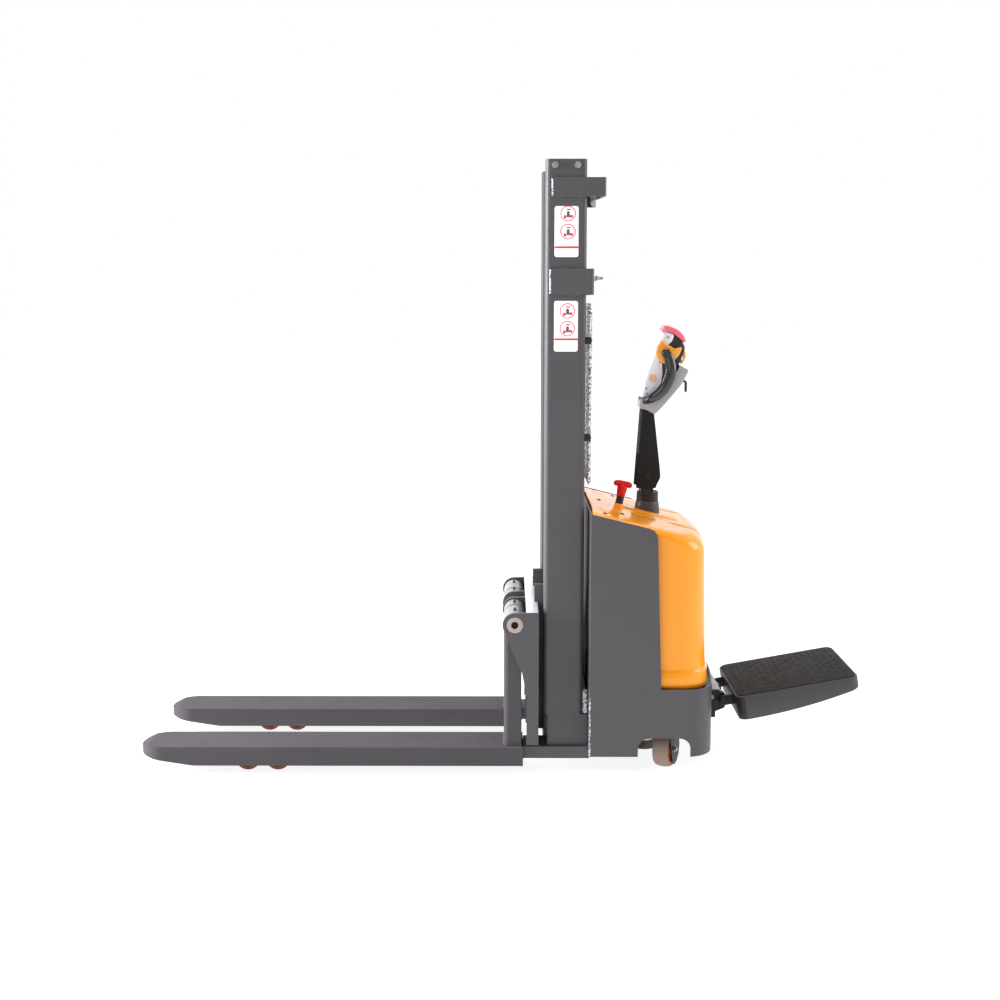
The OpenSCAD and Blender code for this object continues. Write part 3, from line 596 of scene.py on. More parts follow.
class Cover:
    """The moulded shell over the drive unit, from the box of the CAD cover."""
    low, high = span("rear_cover")
    body_half = 312
    corner_r = 84
    lip_top = 341
    lip_out = 5.5
    front = low.x
    rear = high.x - 6
    slope = 0.2514
    crown = 9
    bow = 17
    lean = 9
    hole_r = 38
    hole_x = middle("steering_column").x

    @classmethod
    def plan(cls, count=34):
        """Outline points with their outward normals, from one front corner round the rear to the other."""
        side = []
        corner = Vector((cls.rear - cls.bow - cls.corner_r, cls.body_half - cls.corner_r))
        for k in range(count):
            side.append((Vector((cls.front + (corner.x - cls.front) * k / count, cls.body_half)),
                         Vector((0, 1))))
        turn = 80
        for k in range(19):
            a = math.radians(90 - turn * k / 18)
            n = Vector((math.cos(a), math.sin(a)))
            side.append((corner + n * cls.corner_r, n))
        edge = side[-1][0]
        steps = 14
        for k in range(1, steps + 1):
            y = edge.y * (1 - k / steps)
            x = edge.x + cls.bow * (1 - (y / edge.y) ** 2)
            n = Vector((1, 0.17 * y / edge.y)).normalized()
            side.append((Vector((x, y)), n))
        other = [(Vector((p.x, -p.y)), Vector((n.x, -n.y))) for p, n in side[:-1]]
        return side + other[::-1]

    @classmethod
    def top(cls, x, y):
        """Height of the sloping, crowned top with its plinth and hollows."""
        z = cls.high.z + 6 - cls.slope * (x - cls.front) - cls.crown * (abs(y) / 290) ** 2.4
        boot = cls.hole_x
        plinth = (blend_step(x, boot - 102, boot - 92) - blend_step(x, boot + 88, boot + 98)) \
            * (1 - blend_step(abs(y), 62, 70))
        z += 5 * plinth
        for s in SIDES:
            u = (x - boot + 10) / 66
            v = (y - s * 142) / 40
            z -= 3 * (1 - blend_step(math.sqrt(u ** 4 + v ** 4) ** 0.5, 0.7, 1.2))
            u = (x - boot - 88) / 36
            v = (y - s * 146) / 13
            z -= 8 * (1 - blend_step(u * u + v * v, 0.5, 1.1))
        for s in SIDES:
            u = (x - 318) / 22
            v = (y - s * 190) / 60
            z += 3 * (1 - blend_step(u * u + v * v, 0.5, 1.1))
        return z


def rear_cover():
    """The orange shell: lip, leaning wall, rounded shoulder and a top that closes in on the boot's hole."""
    outline = Cover.plan()
    columns = []
    shoulder = []
    for p, n in outline:
        rearward = blend_step(p.x, 500, 615)
        r = 26 + 36 * rearward
        lean = Cover.lean * (0.35 + 0.65 * rearward)
        edge = p - n * (lean + r)
        z1 = Cover.top(edge.x, edge.y) - r
        column = []
        for z, out in ((Cover.low.z - 4, 4.5), (Cover.low.z + 12, Cover.lip_out),
                       (Cover.lip_top - 4, Cover.lip_out), (Cover.lip_top - 1, Cover.lip_out - 1.5),
                       (Cover.lip_top + 2, 1.2), (Cover.lip_top + 8, 0)):
            q = p + n * out
            column.append(Vector((q.x, q.y, z)))
        for k in range(1, 9):
            z = Cover.lip_top + 8 + (z1 - Cover.lip_top - 8) * k / 8
            q = p - n * lean * k / 8
            column.append(Vector((q.x, q.y, z)))
        for k in range(1, 9):
            a = math.radians(90 * k / 9)
            q = edge + n * r * math.cos(a)
            column.append(Vector((q.x, q.y, z1 + r * math.sin(a))))
        columns.append(column)
        shoulder.append(edge)
    shell = Shape()
    shell.rings(columns, closed=False, start=False, end=False)
    first, last = shoulder[0], shoulder[-1]
    front_steps = 44
    front = [last.lerp(first, k / front_steps) for k in range(1, front_steps)]
    loop = shoulder + front
    centre = Vector((Cover.hole_x, 0))
    webs = 46
    rings = []
    for k in range(webs + 1):
        ring = []
        for p in loop:
            hole = centre + (p - centre).normalized() * Cover.hole_r
            q = p.lerp(hole, k / webs)
            ring.append(Vector((q.x, q.y, Cover.top(q.x, q.y))))
        rings.append(ring)
    shell.rings(rings, start=False, end=False)
    top_edge = [column[-1] for column in columns]
    strip = [top_edge, [Vector((p.x, p.y, Cover.top(p.x, p.y))) for p in shoulder]]
    shell.rings(strip, closed=False, start=False, end=False)
    shell.done("orange_cover", "chassis", ORANGE, "cover_orange", ["rear_cover"], sharp=60, thickness=4)


def cover_details():
    """Screws in the cover's top."""
    screws = Shape()
    for x, y in ((310, 262), (307, -25), (368, 201), (310, -262), (368, -201)):
        screws.lathe([(7.5, -1), (7.5, 0.6), (6.3, 0.9), (6.0, -0.5)], (x, y, Cover.top(x, y)),
                     (0.24, 0, 0.97), 20)
        screws.pan_screw((x, y, Cover.top(x, y) - 0.6), (0.24, 0, 0.97), 5.0)
    screws.done("cover_screws", "chassis", BLACK_PAINT, "black_steel")


# ---- emergency stop ----

def stop_frame():
    """Local frame at the foot of the emergency stop, with Z along its stem."""
    axis = Vector(JOINTS["stop_handle_pull"]["axis"])
    low = span("stop_switch")[0]
    lean = math.atan2(axis.x, axis.z)
    foot_z = low.z + 40 * math.cos(lean) + 13 * math.sin(lean)
    foot_x = middle("stop_handle").x - 92 * math.sin(lean)
    return Matrix.Translation((foot_x, middle("stop_switch").y, foot_z)) @ Matrix.Rotation(lean, 4, "Y")


def emergency_stop():
    """Moulded boss, ribbed collar and a red T-shaped pull handle."""
    place = stop_frame()
    boss = Shape(place)
    boss.lathe([(24, -8), (22.5, -3), (19, 1), (16.2, 7), (15, 16), (14.4, 25), (13.6, 27), (9, 27)],
               (0, 0, 0), Z_AXIS)
    boss.done("stop_boss", "chassis", ORANGE, "cover_orange", ["stop_switch"])
    collar = Shape(place)
    profile = [(9, 20)]
    for z in (20, 28, 36, 44):
        profile += [(12.4, z), (12.4, z + 5), (11.4, z + 6), (11.4, z + 7)]
    collar.lathe(profile[:-2] + [(9, 49.5)], (0, 0, 0), Z_AXIS, loop=True)
    collar.done("stop_collar", "chassis", BLACK_PLASTIC, "black_plastic")
    handle = Shape(place)
    handle.lathe([(8, -14), (8, 51), (12, 51.6), (14, 54), (14.8, 62), (16, 74), (16, 84), (9, 91)],
                 (0, 0, 0), Z_AXIS)
    bar = [(x, 0, 92 - 2.4 * (x / 20) ** 2) for x in (-20, -15, -10, -5, 0, 5, 10, 15, 20)]
    handle.tube([Vector(p) for p in bar], lambda s: (10 + 0.8 * abs(2 * s - 1), 8.6 + 1.2 * abs(2 * s - 1)),
                20, dome=True)
    handle.done("stop_handle_red", "stop_handle", RED, "red_plastic", ["stop_handle"])


# ---- tiller ----

def steering_boot():
    """A flared ring that follows the sloping cover, and a split sleeve that turns inside it."""
    high = span("tiller_boot")[1]
    x = Cover.hole_x
    foot = Cover.top(x, 60) - 3
    levels = ((35.4, -10, 1), (39.5, -10, 1), (40.6, -6, 1), (40, 6, 0.9), (38, 22, 0.5), (36.6, 33, 0.3),
              (35.9, 34, 0.3), (35.4, 33, 0.3))
    turn = [2 * math.pi * k / 64 for k in range(64)]
    rows = []
    for r, up, tilt in levels:
        rows.append([Vector((x + r * math.cos(a), r * math.sin(a),
                             foot + up - Cover.slope * r * math.cos(a) * tilt)) for a in turn])
    ring = Shape()
    ring.rings(rows, loop=True)
    ring.done("boot_ring", "chassis", BOOT_RING_DARKENED, "black_plastic")
    sleeve = Shape()
    gap = math.radians(8)
    for start in (math.pi / 2 + gap, -math.pi / 2 + gap):
        arc = math.pi - 2 * gap
        rings = []
        for k in range(33):
            a = start + arc * k / 32
            ends = 1.6 if k in (0, 32) else 0
            profile = ((31, foot - 4), (34.2 - ends, foot - 4), (34.6 - ends, foot + 52),
                       (34.2 - ends, high.z - 7), (33, high.z - 2), (31, high.z - 1))
            rings.append([Vector((x + r * math.cos(a), r * math.sin(a), z)) for r, z in profile])
        sleeve.rings(rings)
    for k in range(4):
        z = foot + 42 + 7 * k
        sleeve.lathe([(33.6, z - 1.4), (35.2, z), (33.6, z + 1.4), (32, z)], (x, 0, 0), Z_AXIS, 48, loop=True)
    sleeve.lathe([(30.6, foot - 6), (30.6, high.z - 3), (20, high.z - 3)], (x, 0, 0), Z_AXIS, 40)
    sleeve.done("boot_sleeve", "drive_unit", BOOT_SLEEVE_LIGHTENED, "black_plastic", ["tiller_boot"])


def tiller_arm():
    """Two side plates that narrow towards the head, joined at the top, and flush caps over the pivot."""
    low, high = span("tiller_arm")
    axis = pivot("tiller_tilt")
    outline = [(424.6, low.z + 4), (428, low.z), (485, low.z), (488.6, 880), (493, 893), (501, 908),
               (502.4, 918), (500.6, 940), (478, high.z), (441, high.z)]
    arm = Shape()
    for s in SIDES:
        arm.slab([Vector(p) for p in outline], *sorted((s * 39, s * high.y)), 2.2, steps=4)
    arm.slab([Vector(p) for p in ((432, 986), (488, 986), (476, high.z), (441.6, high.z))], -41, 41, 0.5)
    for s in SIDES:
        arm.lathe([(9.2, -2), (9.2, 1.6), (8, 2.2), (5.4, 2.2), (5, 1.6), (0.1, 1.6)],
                  (axis.x, s * high.y, axis.z), (0, s, 0), 32)
    arm.done("tiller_arm_shell", "tiller", ARM_BLACK, "black_steel", ["tiller_arm"])


def tiller_head():
    """The head in layers: black core, silver front, grey rear plate; then emblems, screws and windows."""
    core = Shape()
    core.slab(closed_curve([(438, 1152), (440, 1172), (470, 1182), (500, 1222), (500, 1290), (514, 1352),
                            (540, 1368), (566, 1345), (575, 1322), (564, 1290), (553, 1262), (556, 1238),
                            (545, 1205), (505, 1162), (470, 1142)]), -38, 38, 7, crown=2)
    core.done("head_core", "tiller", BLACK_PLASTIC, "black_plastic")
    shell = Shape()
    shell.slab(closed_curve([(438, 1168), (443, 1205), (450, 1236), (461, 1268), (473, 1302), (486, 1335),
                             (499, 1363), (506, 1376), (522, 1376), (539, 1367), (535, 1350), (526, 1338),
                             (512, 1322), (502, 1300), (503, 1275), (505, 1248), (503, 1222), (496, 1201),
                             (484, 1184), (461, 1170)], 5), -45, 45, 10, crown=2.5, steps=5)
    shell.done("head_shell", "tiller", SILVER, "silver_plastic", ["tiller_head"])
    collar = Shape()
    collar.slab(closed_curve([(434, 1136), (437, 1166), (446, 1158), (462, 1146), (481, 1140), (508, 1158),
                              (540, 1208), (553, 1250), (557, 1271), (572, 1264), (586, 1255), (577, 1234),
                              (564, 1210), (530, 1168), (500, 1134), (481, 1117), (468, 1122), (452, 1130)],
                              4), -51, 51, 3.2, crown=0.6)
    for y in (-40, -13, 13, 40):
        collar.slab([Vector(p) for p in ((541, 1203), (548, 1199), (572, 1240), (566, 1244))], y - 2, y + 2,
                    0.6)
    collar.done("head_rear_plate", "tiller", GREY_PLASTIC, "silver_plastic")
    emblem = Shape()
    a, b = Vector((0.53, 0.85)), Vector((0.85, -0.53))
    for s in SIDES:
        face = s * 47
        emblem.lathe([(13.5, -3), (13.5, 1), (12.3, 1), (12.3, -3)], (474, face, 1230), (0, s, 0), 36,
                     loop=True)
        for shift in (-7, 0, 7):
            reach = 11 if shift == 0 else 7.5
            centre = Vector((474, 1230)) + b * shift
            bar = [centre + a * i * reach + b * j * 2 for i, j in ((-1, -1), (1, -1), (1, 1), (-1, 1))]
            emblem.slab(bar, *sorted((face - s * 3, face + s)), 0.3)
    emblem.done("head_side_emblem", "tiller", KNOB, "knob_orange")
    screws = Shape()
    for s in SIDES:
        for x, z in ((453, 1198), (455, 1181), (520, 1360)):
            screws.pan_screw((x, s * 45.5, z), (0, s, 0), 3.2)
    screws.done("head_screws", "tiller", DULL_STEEL, "bright_steel")
    windows = Shape()
    window = closed_curve([(574, 1316), (579, 1300), (572, 1280), (563, 1276), (566, 1298)], 4)
    for s in SIDES:
        windows.slab(window, *sorted((s * 18, s * 30)), 2)
    windows.done("head_gauge_windows", "tiller", KNOB, "knob_orange")


def throttle():
    """A claw-shaped knob on each side that turns about the head's cross shaft."""
    wing = closed_curve([(500, 1352), (507, 1342), (518, 1336), (529, 1331), (538, 1325), (550, 1327),
                         (562, 1328), (559, 1316), (553, 1303), (545, 1294), (535, 1284), (521, 1277),
                         (506, 1277), (492, 1286), (483, 1300), (482, 1316), (486, 1332), (493, 1343)], 5)
    knobs = Shape()
    high = span("throttle_knobs")[1]
    for s in SIDES:
        near, far = sorted((s * 46.2, s * high.y))
        knobs.slab(wing, near, far, 4.5, crown=1.2, steps=4)
        knobs.lathe([(15, 0), (15, 1.6), (13.4, 2.4), (0.1, 2.4)], (521, s * high.y, 1306), (0, s, 0), 32)
    knobs.done("throttle_wings", "throttle", KNOB, "knob_orange", ["throttle_knobs"])


def grips():
    """Glossy hand loops beside the head."""
    y = span("tiller_grips")[1].y - 12.5
    loops = Shape()
    for s in SIDES:
        path = open_curve([(511, s * y, 1312), (519, s * y, 1298), (525, s * y, 1274), (526, s * y, 1250),
                           (520, s * y, 1226), (508, s * (y - 1), 1202), (490, s * (y - 2), 1182),
                           (470, s * (y - 5), 1168), (456, s * (y - 14), 1160), (450, s * (y - 30), 1156)], 7)
        loops.tube(path, lambda t: (12.4 - 2.4 * blend_step(t, 0.7, 1), 15 + 3.5 * math.sin(math.pi * t) ** 2
                                    - 5.5 * blend_step(t, 0.65, 0.95)), 28, dome=True)
    loops.done("hand_grips", "tiller", GRIP, "grip_plastic", ["tiller_grips"])
    caps = Shape()
    for s in SIDES:
        caps.lathe([(12, 0), (12, 1.2), (10.6, 2.2), (5, 2.8), (0.1, 2.8)], (514, s * (y + 11.2), 1306),
                   (0, s, 0), 36)
    caps.done("grip_end_caps", "tiller", BLACK_PLASTIC, "black_plastic")


def reversing_button():
    """The long red cap over the top of the head."""
    cap = Shape()
    cap.slab(closed_curve([(503, 1379), (505, 1388), (509, 1395), (516, 1397), (532, 1392), (553, 1382),
                           (568, 1367), (577, 1351), (573, 1343), (566, 1347), (552, 1359), (539, 1369),
                           (522, 1377), (508, 1380)], 5), -42, 42, 6, crown=1.5, steps=5)
    cap.done("belly_button", "reversing_button", CORAL, "red_plastic", ["reversing_button"])


def push_buttons():
    """Three round buttons on the rear face of the head."""
    for node, material, slot in (("lift_button", BLACK_PLASTIC, "black_plastic"),
                                 ("lower_button", BLACK_PLASTIC, "black_plastic"),
                                 ("horn_button", YELLOW, "yellow_plastic")):
        travel = Vector(JOINTS[node + "_press"]["axis"])
        button = Shape()
        button.lathe([(7.9, -5), (7.9, 2.6), (7.2, 4.0), (5.5, 4.6), (4.2, 4.2), (0.1, 3.6)], middle(node),
                     -travel, 32)
        button.done(node + "_cap", node, material, slot, [node])
    rim = Shape()
    for node in ("lift_button", "lower_button", "horn_button"):
        travel = Vector(JOINTS[node + "_press"]["axis"])
        rim.lathe([(8.3, -7), (10.6, -7), (10.6, 0), (9.8, 1), (8.3, 1)], middle(node), -travel, 32,
                  loop=True)
    rim.done("button_rims", "tiller", SILVER, "silver_plastic")


def ignition_key():
    """Key with a cord, and the lock that it turns in."""
    low, high = span("key")
    bow_x = high.x - 4
    outward = (0.883, 0, -0.469)
    key = Shape()
    key.slab(rounded_rect(-9, 9, low.z, low.z + 32, 5), bow_x - 3.4, bow_x + 3.4, 1.6, axis="x")
    barrel = pivot("key_turn")
    key.lathe([(4, -10), (4, 14), (3.2, 15)], barrel, outward, 20)
    key.done("ignition_key", "key", BLACK_PLASTIC, "black_plastic", ["key"])
    cord = Shape()
    cord.rod(open_curve([(bow_x, 0, low.z + 4), (bow_x + 1, 1, low.z - 10), (bow_x - 1, 2, low.z - 24),
                         (bow_x, 0, low.z - 34)], 5), 0.9, 6)
    cord.done("key_cord", "key", NYLON, "nylon")
    lock = Shape()
    lock.lathe([(8, -6), (8, 3), (7, 4.4), (4.6, 4.4), (4.4, -6)], barrel, outward, 28, loop=True)
    lock.done("key_lock", "tiller", STEEL, "bright_steel")


# ---- mast ----

def mesh_guard():
    """Expanded metal sheet in a bar frame with twisted edge wires, on four clips."""
    low, high = span("mesh_guard")
    x = high.x - 1.6
    half = high.y
    z0, z1 = low.z, high.z
    pitch_z, pitch_y = 18, 20
    rows = int((z1 - z0 - 12) / pitch_z * 2)
    columns = int((2 * half - 12) / pitch_y * 2)
    start_z = (z0 + z1) / 2 - rows * pitch_z / 4
    start_y = -columns * pitch_y / 4
    guard = Shape()
    for row in range(rows):
        strip = []
        for k in range(columns + 1):
            side = 1 if (k + row) % 2 else -1
            up = 0.46 * pitch_z / 2 * side
            lift = 1.5 * side
            strip.append(Vector((x + lift, start_y + k * pitch_y / 2,
                                 start_z + (row + 0.5) * pitch_z / 2 + up)))
        section = ((-0.8, -1.1), (0.8, -1.1), (0.8, 1.1), (-0.8, 1.1))
        guard.rings([[p + Vector((a, 0, b)) for a, b in section] for p in strip])
    frame_loop = rounded_rect(-half + 4, half - 4, z0 + 4, z1 - 4, 14, 5)
    guard.rod([Vector((x, p.x, p.y)) for p in frame_loop], 2.4, 10, closed=True, reference=Vector((1, 0, 0)))
    count = int((z1 - z0 - 24) / 3)
    for s in SIDES:
        for phase in (0, math.pi):
            turns = [2 * math.pi * k / 5 + phase for k in range(count)]
            guard.rod([Vector((x + 5.5 * math.cos(a), s * (half - 7) + 5.5 * math.sin(a), z0 + 12 + 3 * k))
                       for k, a in enumerate(turns)], 1.3, 6, reference=Vector((1, 0, 0)))
    guard.done("wire_guard", "chassis", WIRE, "guard_wire", ["mesh_guard"], sharp=50)
    clips = Shape()
    clip_y = 236
    for z in (1060, 1355):
        for y in (s * clip_y for s in SIDES):
            clips.box((245, y - 9, z - 11), (x - 3, y + 9, z + 11), 1.5)
            clips.box((x - 5, y - 9, z - 11), (x + 3.6, y + 9, z + 11), 1.5)
            clips.pan_screw((x + 3.6, y, z), (1, 0, 0), 4)
    clips.done("guard_clips", "chassis", BLACK_PAINT, "black_steel")


def mast_labels():
    """White plates with ringed plain shapes and a rule in place of the printed signs."""
    web = span("outer_mast")[1].y - 8
    front, rear, centre_x = 151, 223, 191
    plates, marks, shapes = Shape(), Shape(), Shape()
    for s in SIDES:
        face = s * (web + 0.7)
        near, far = sorted((s * web, face))
        top, low = sorted((face - s * 0.2, face + s * 0.25))
        for z0, z1, shift in ((1604, 1754, 8), (1322, 1474, 0)):
            rule = z0 + 37 - shift
            plates.slab(rounded_rect(front, rear, z0, z1, 7), near, far, 0.2)
            marks.slab(rounded_rect(front + 0.5, rear - 0.5, rule - 3, rule + 3, 1, 3), top, low, 0.1)
            for k in (0, 1):
                z = z1 - 30 - 53 * k + shift
                marks.lathe([(23, 0), (23, 0.45), (20.4, 0.45), (20.4, 0)], (centre_x, face - s * 0.2, z),
                            (0, s, 0), 40, loop=True)
                for x, dz, wide, tall in ((-9, -10, 4, 5), (10, -8, 5, 4), (2, 12, 7, 2)):
                    x += centre_x
                    marks.slab(rounded_rect(x - wide, x + wide, z + dz - tall, z + dz + tall, 1.8, 3),
                               top, low, 0.1)
                shapes.slab(rounded_rect(centre_x - 4, centre_x + 5, z - 11, z + 7, 3, 3),
                            *sorted((face - s * 0.2, face + s * 0.1)), 0.1)
    plates.done("mast_plates", "chassis", LABEL, "nylon")
    marks.done("mast_plate_rings", "chassis", LABEL_RED, "red_plastic")
    shapes.done("mast_plate_shapes", "chassis", LABEL_GREY, "nylon")


def leaf_links(shape, path, across, width):
    """Leaf chain along a path of pin points: alternate sets of plates on each pin."""
    for i in range(len(path) - 1):
        a, b = path[i], path[i + 1]
        along = (b - a).normalized()
        side = along.cross(across)
        half = 4.6
        profile = []
        for k in range(12):
            t = 2 * math.pi * k / 12
            centre = a if math.cos(t) < 0 else b
            waist = 0.82 if abs(math.cos(t)) < 0.3 else 1
            profile.append(centre + along * math.cos(t) * half + side * math.sin(t) * half * waist)
        plates = (-0.5, 0.02, 0.5) if i % 2 else (-0.28, 0.28)
        for centre in plates:
            shift = across * centre * (width - 3)
            shape.rings([[p + shift - across * 1.3 for p in profile],
                         [p + shift + across * 1.3 for p in profile]])
        shape.rod([a - across * (width / 2), a + across * (width / 2)], 2.3, 8, reference=Z_AXIS)


def lift_chains():
    """Front strands, rear strands and the turn over each sheave."""
    low, high = span("chain_front")
    x = (low.x + high.x) / 2
    y = high.y - 8
    sheave = pivot("sheave_turn")
    pitch = 12.7
    count = round((sheave.z - low.z) / pitch)
    front, rear, turn = Shape(), Shape(), Shape()
    rear_low, rear_high = span("chain_rear")
    rear_x = (rear_low.x + rear_high.x) / 2
    rear_count = round((sheave.z - rear_low.z) / pitch)
    radius = (rear_x - x) / 2
    turn_count = round(math.pi * radius / pitch)
    for s in SIDES:
        leaf_links(front, [Vector((x, s * y, low.z + (sheave.z - low.z) * k / count))
                           for k in range(count + 1)], Y_AXIS, 16)
        leaf_links(rear, [Vector((rear_x, s * y, rear_low.z + (sheave.z - rear_low.z) * k / rear_count))
                          for k in range(rear_count + 1)], Y_AXIS, 16)
        leaf_links(turn, [Vector((sheave.x - radius * math.cos(math.pi * k / turn_count), s * y,
                                  sheave.z + radius * math.sin(math.pi * k / turn_count)))
                          for k in range(turn_count + 1)], Y_AXIS, 16)
    strand = front.done("lift_chain_front", "carriage", CHAIN, "chain_steel", ["chain_front"])
    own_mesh(strand)
    turn.done("lift_chain_turn", "inner_mast", CHAIN, "chain_steel")
    back = rear.done("lift_chain_rear", "chassis", CHAIN, "chain_steel", ["chain_rear"])
    world = back.matrix_world.copy()
    back.parent = None
    back.matrix_world = world
    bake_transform(back)


def mast_details():
    """Painted welds, bare ground welds and blocks on the mast, and the bolts of the chain anchors."""
    web = span("outer_mast")[1].y - 8
    ties = ((142, 1492, 1570), (148, 1782, 1838))       # front edge, lower edge and upper edge of each
    anchor_z = 1545
    beads = Shape()
    light = Shape()
    for s in SIDES:
        for x, z0, z1 in ties:
            for z in (z0, z1):
                beads.bead((x, s * web, z), (236, s * web, z), 2.2)
            light.bead((x - 1, s * (web + 1), z0 + 3), (x - 1, s * (web + 1), z1 - 3), 5.2, 8)
        beads.bead((142, s * 248, 187.5), (240, s * 248, 187.5), 2.6)
        beads.bead((262, s * 246, 92), (262, s * 246, 184), 2.6)
        beads.bead((138, s * 249, 92), (138, s * 249, 178), 2.4)
        light.box((247.5, s * 243.5 - 5.5, 191), (262.5, s * 243.5 + 5.5, 266), 2)
        light.bead((265.5, s * 330.5, 80), (265.5, s * 330.5, 262), 3.0, 9)
        x, y = span("chain_anchors")[1].x, s * 45
        light.hex_bolt((x - 2, y, anchor_z), (1, 0, 0), 8, 7)
        light.lathe([(4.4, -8), (4.4, 20), (3.4, 21), (0.1, 21)], (x, y, anchor_z), (1, 0, 0), 20)
    beads.done("mast_welds", "chassis", PAINT, "frame_paint")
    light.done("mast_ground_welds", "chassis", WELD, "frame_paint")


def carriage_details():
    """Bare strip, shaft tubes with grease nipples and end plugs, and weld beads on the carriage."""
    top = 521               # upper face of the carriage's top plate
    shaft = middle("fork_shaft")
    strip = Shape()
    strip.box((69.5, -284, top - 0.4), (106.5, 284, top + 2), 0.6)
    strip.done("carriage_top_strip", "carriage", STRIP, "bright_steel")
    sleeves, nipples, beads, plugs = Shape(), Shape(), Shape(), Shape()
    for s in SIDES:
        for near, far in ((57.5, 125), (138, 258)):
            sleeves.lathe([(30, near), (33.4, near), (33.4, far), (30, far)], (shaft.x, 0, shaft.z),
                          (0, s, 0), 48, loop=True)
        for y in (100, 216):
            nipples.lathe([(5.4, 0), (5.4, 3), (3.2, 4.2), (3.2, 7), (2.2, 9), (0.1, 9.4)],
                          (shaft.x, s * y, shaft.z + 32.6), Z_AXIS, 16)
        for y in (273, 53.5):
            beads.bead((95.5, s * y, 120), (95.5, s * y, 500), 2.2)
        beads.bead((72, s * 284.8, 518.5), (106, s * 284.8, 518.5), 1.6)
        for y in (126, 271):
            beads.bead((14, s * y, 91), (54, s * y, 91), 2.4)
        beads.bead((0, s * 142, 91), (0, s * 256, 91), 2.6)
        beads.bead((8, s * 284, 90.5), (56, s * 284, 90.5), 1.6)
        plugs.lathe([(11.4, 262), (11.4, 276), (0.1, 274)], (shaft.x, 0, shaft.z), (0, s, 0), 28)
    plugs.done("shaft_plugs", "carriage", GREASE, "bronze")
    sleeves.done("fork_tubes", "carriage", BARE_TUBE, "bright_steel")
    nipples.done("grease_nipples", "carriage", BLACK_PAINT, "black_steel")
    beads.done("carriage_welds", "carriage", PAINT, "frame_paint")


# ---- wheels ----

def wheel_profile(r, half, bore, side_r, dish):
    """Half-section of a moulded wheel with rounded shoulders and a dished side."""
    arc = [(r - 5 * (1 - math.cos(math.radians(a))), half - 5 * (1 - math.sin(math.radians(a))))
           for a in (0, 30, 60, 90)]
    outer = arc + [(side_r + 2, half), (side_r, half - dish), (bore + 6, half - dish),
                   (bore + 4, half - 1), (bore, half - 1)]
    return [(a, -b) for a, b in outer[::-1]] + outer


def load_wheels():
    """Four rollers with steel cores."""
    for name in ("load_wheel_front_left", "load_wheel_front_right", "load_wheel_rear_left",
                 "load_wheel_rear_right"):
        joint = JOINTS[name + "_spin"]
        body = Shape()
        body.lathe(wheel_profile(40, 34, 17.5, 27, 2.2), pivot(name + "_spin"), joint["axis"], 56, loop=True)
        body.done(name + "_tyre", name, LOAD_RUST, "polyurethane", [name])
        core = Shape()
        core.lathe([(10.2, -41), (16.6, -41), (17.4, -40), (17.4, 40), (16.6, 41), (10.2, 41)],
                   pivot(name + "_spin"), joint["axis"], 40, loop=True)
        core.done(name + "_core", name, STEEL, "bright_steel")


def caster_wheel(side):
    """Grey tread on a rust-red disc, and the axle nuts."""
    name = "caster_wheel_" + side
    joint = JOINTS[name + "_spin"]
    centre = pivot(name + "_spin")
    tread = Shape()
    profile = []
    for a in (180, 150, 120, 90, 60, 30, 0):
        half = 25 if a in (0, 180) else 24.4
        profile.append((60 - 6.5 * (1 - math.sin(math.radians(a))), half * math.cos(math.radians(a))))
    tread.lathe(profile + [(50, 25), (50, -25)], centre, joint["axis"], 64, loop=True)
    tread.done(name + "_tread", name, TREAD, "polyurethane", [name])
    disc = Shape()
    disc.lathe([(50, -24.6), (50, 24.6), (44, 25), (38, 22), (24, 21), (21, 24), (10, 24.4), (8.2, 24.4),
                (8.2, -24.4), (10, -24.4), (21, -24), (24, -21), (38, -22), (44, -25)],
               centre, joint["axis"], 64, loop=True)
    disc.done(name + "_disc", name, RUST, "polyurethane")
    axis = Vector(joint["axis"]).normalized()
    nuts = Shape()
    for s in SIDES:
        nuts.hex_bolt(centre + axis * s * 31, axis * s, 8, 6)
    nuts.done("caster_nuts_" + side, "caster_" + side, STEEL, "bright_steel")


def caster_brake(side):
    """Foot pedal, the guard plates beside the wheel and the swivel ring."""
    pedal = Shape()
    centre = pivot("caster_wheel_" + side + "_spin")
    swivel = pivot("caster_" + side + "_swivel")
    forward = Vector((centre.x - swivel.x, centre.y - swivel.y, 0)).normalized()
    left = Z_AXIS.cross(forward)
    base = Vector((swivel.x, swivel.y, 0))
    side_way = left if swivel.y > 0 else -left
    rows = []
    for out, across, z, half in ((30, 8, 139, 14), (46, 20, 136, 14), (60, 30, 120, 12), (70, 36, 98, 11),
                                 (78, 40, 84, 9)):
        p = base + forward * out + side_way * across + Z_AXIS * z
        rows.append([p - left * half - Z_AXIS * 1.8, p + left * half - Z_AXIS * 1.8,
                     p + left * half + Z_AXIS * 1.8, p - left * half + Z_AXIS * 1.8])
    pedal.rings(rows)
    plate = [(-24, 150), (30, 150), (58, 120), (80, 96), (88, 64), (80, 32), (60, 12), (38, 8),
             (22, 20), (12, 44), (2, 84), (-12, 118)]
    for s in SIDES:
        near, far = (base + left * s * k for k in (27, 31))
        pedal.rings([[q + forward * u + Z_AXIS * v for u, v in plate] for q in (near, far)])
    pedal.lathe([(33, 0), (34.5, 2), (34.5, 6), (33, 8), (20, 8), (20, 0)], base + Z_AXIS * 137.5,
                Z_AXIS, 48, loop=True)
    pedal.done("caster_brake_" + side, "caster_" + side, BLACK_PAINT, "black_steel", bevel=0.6)


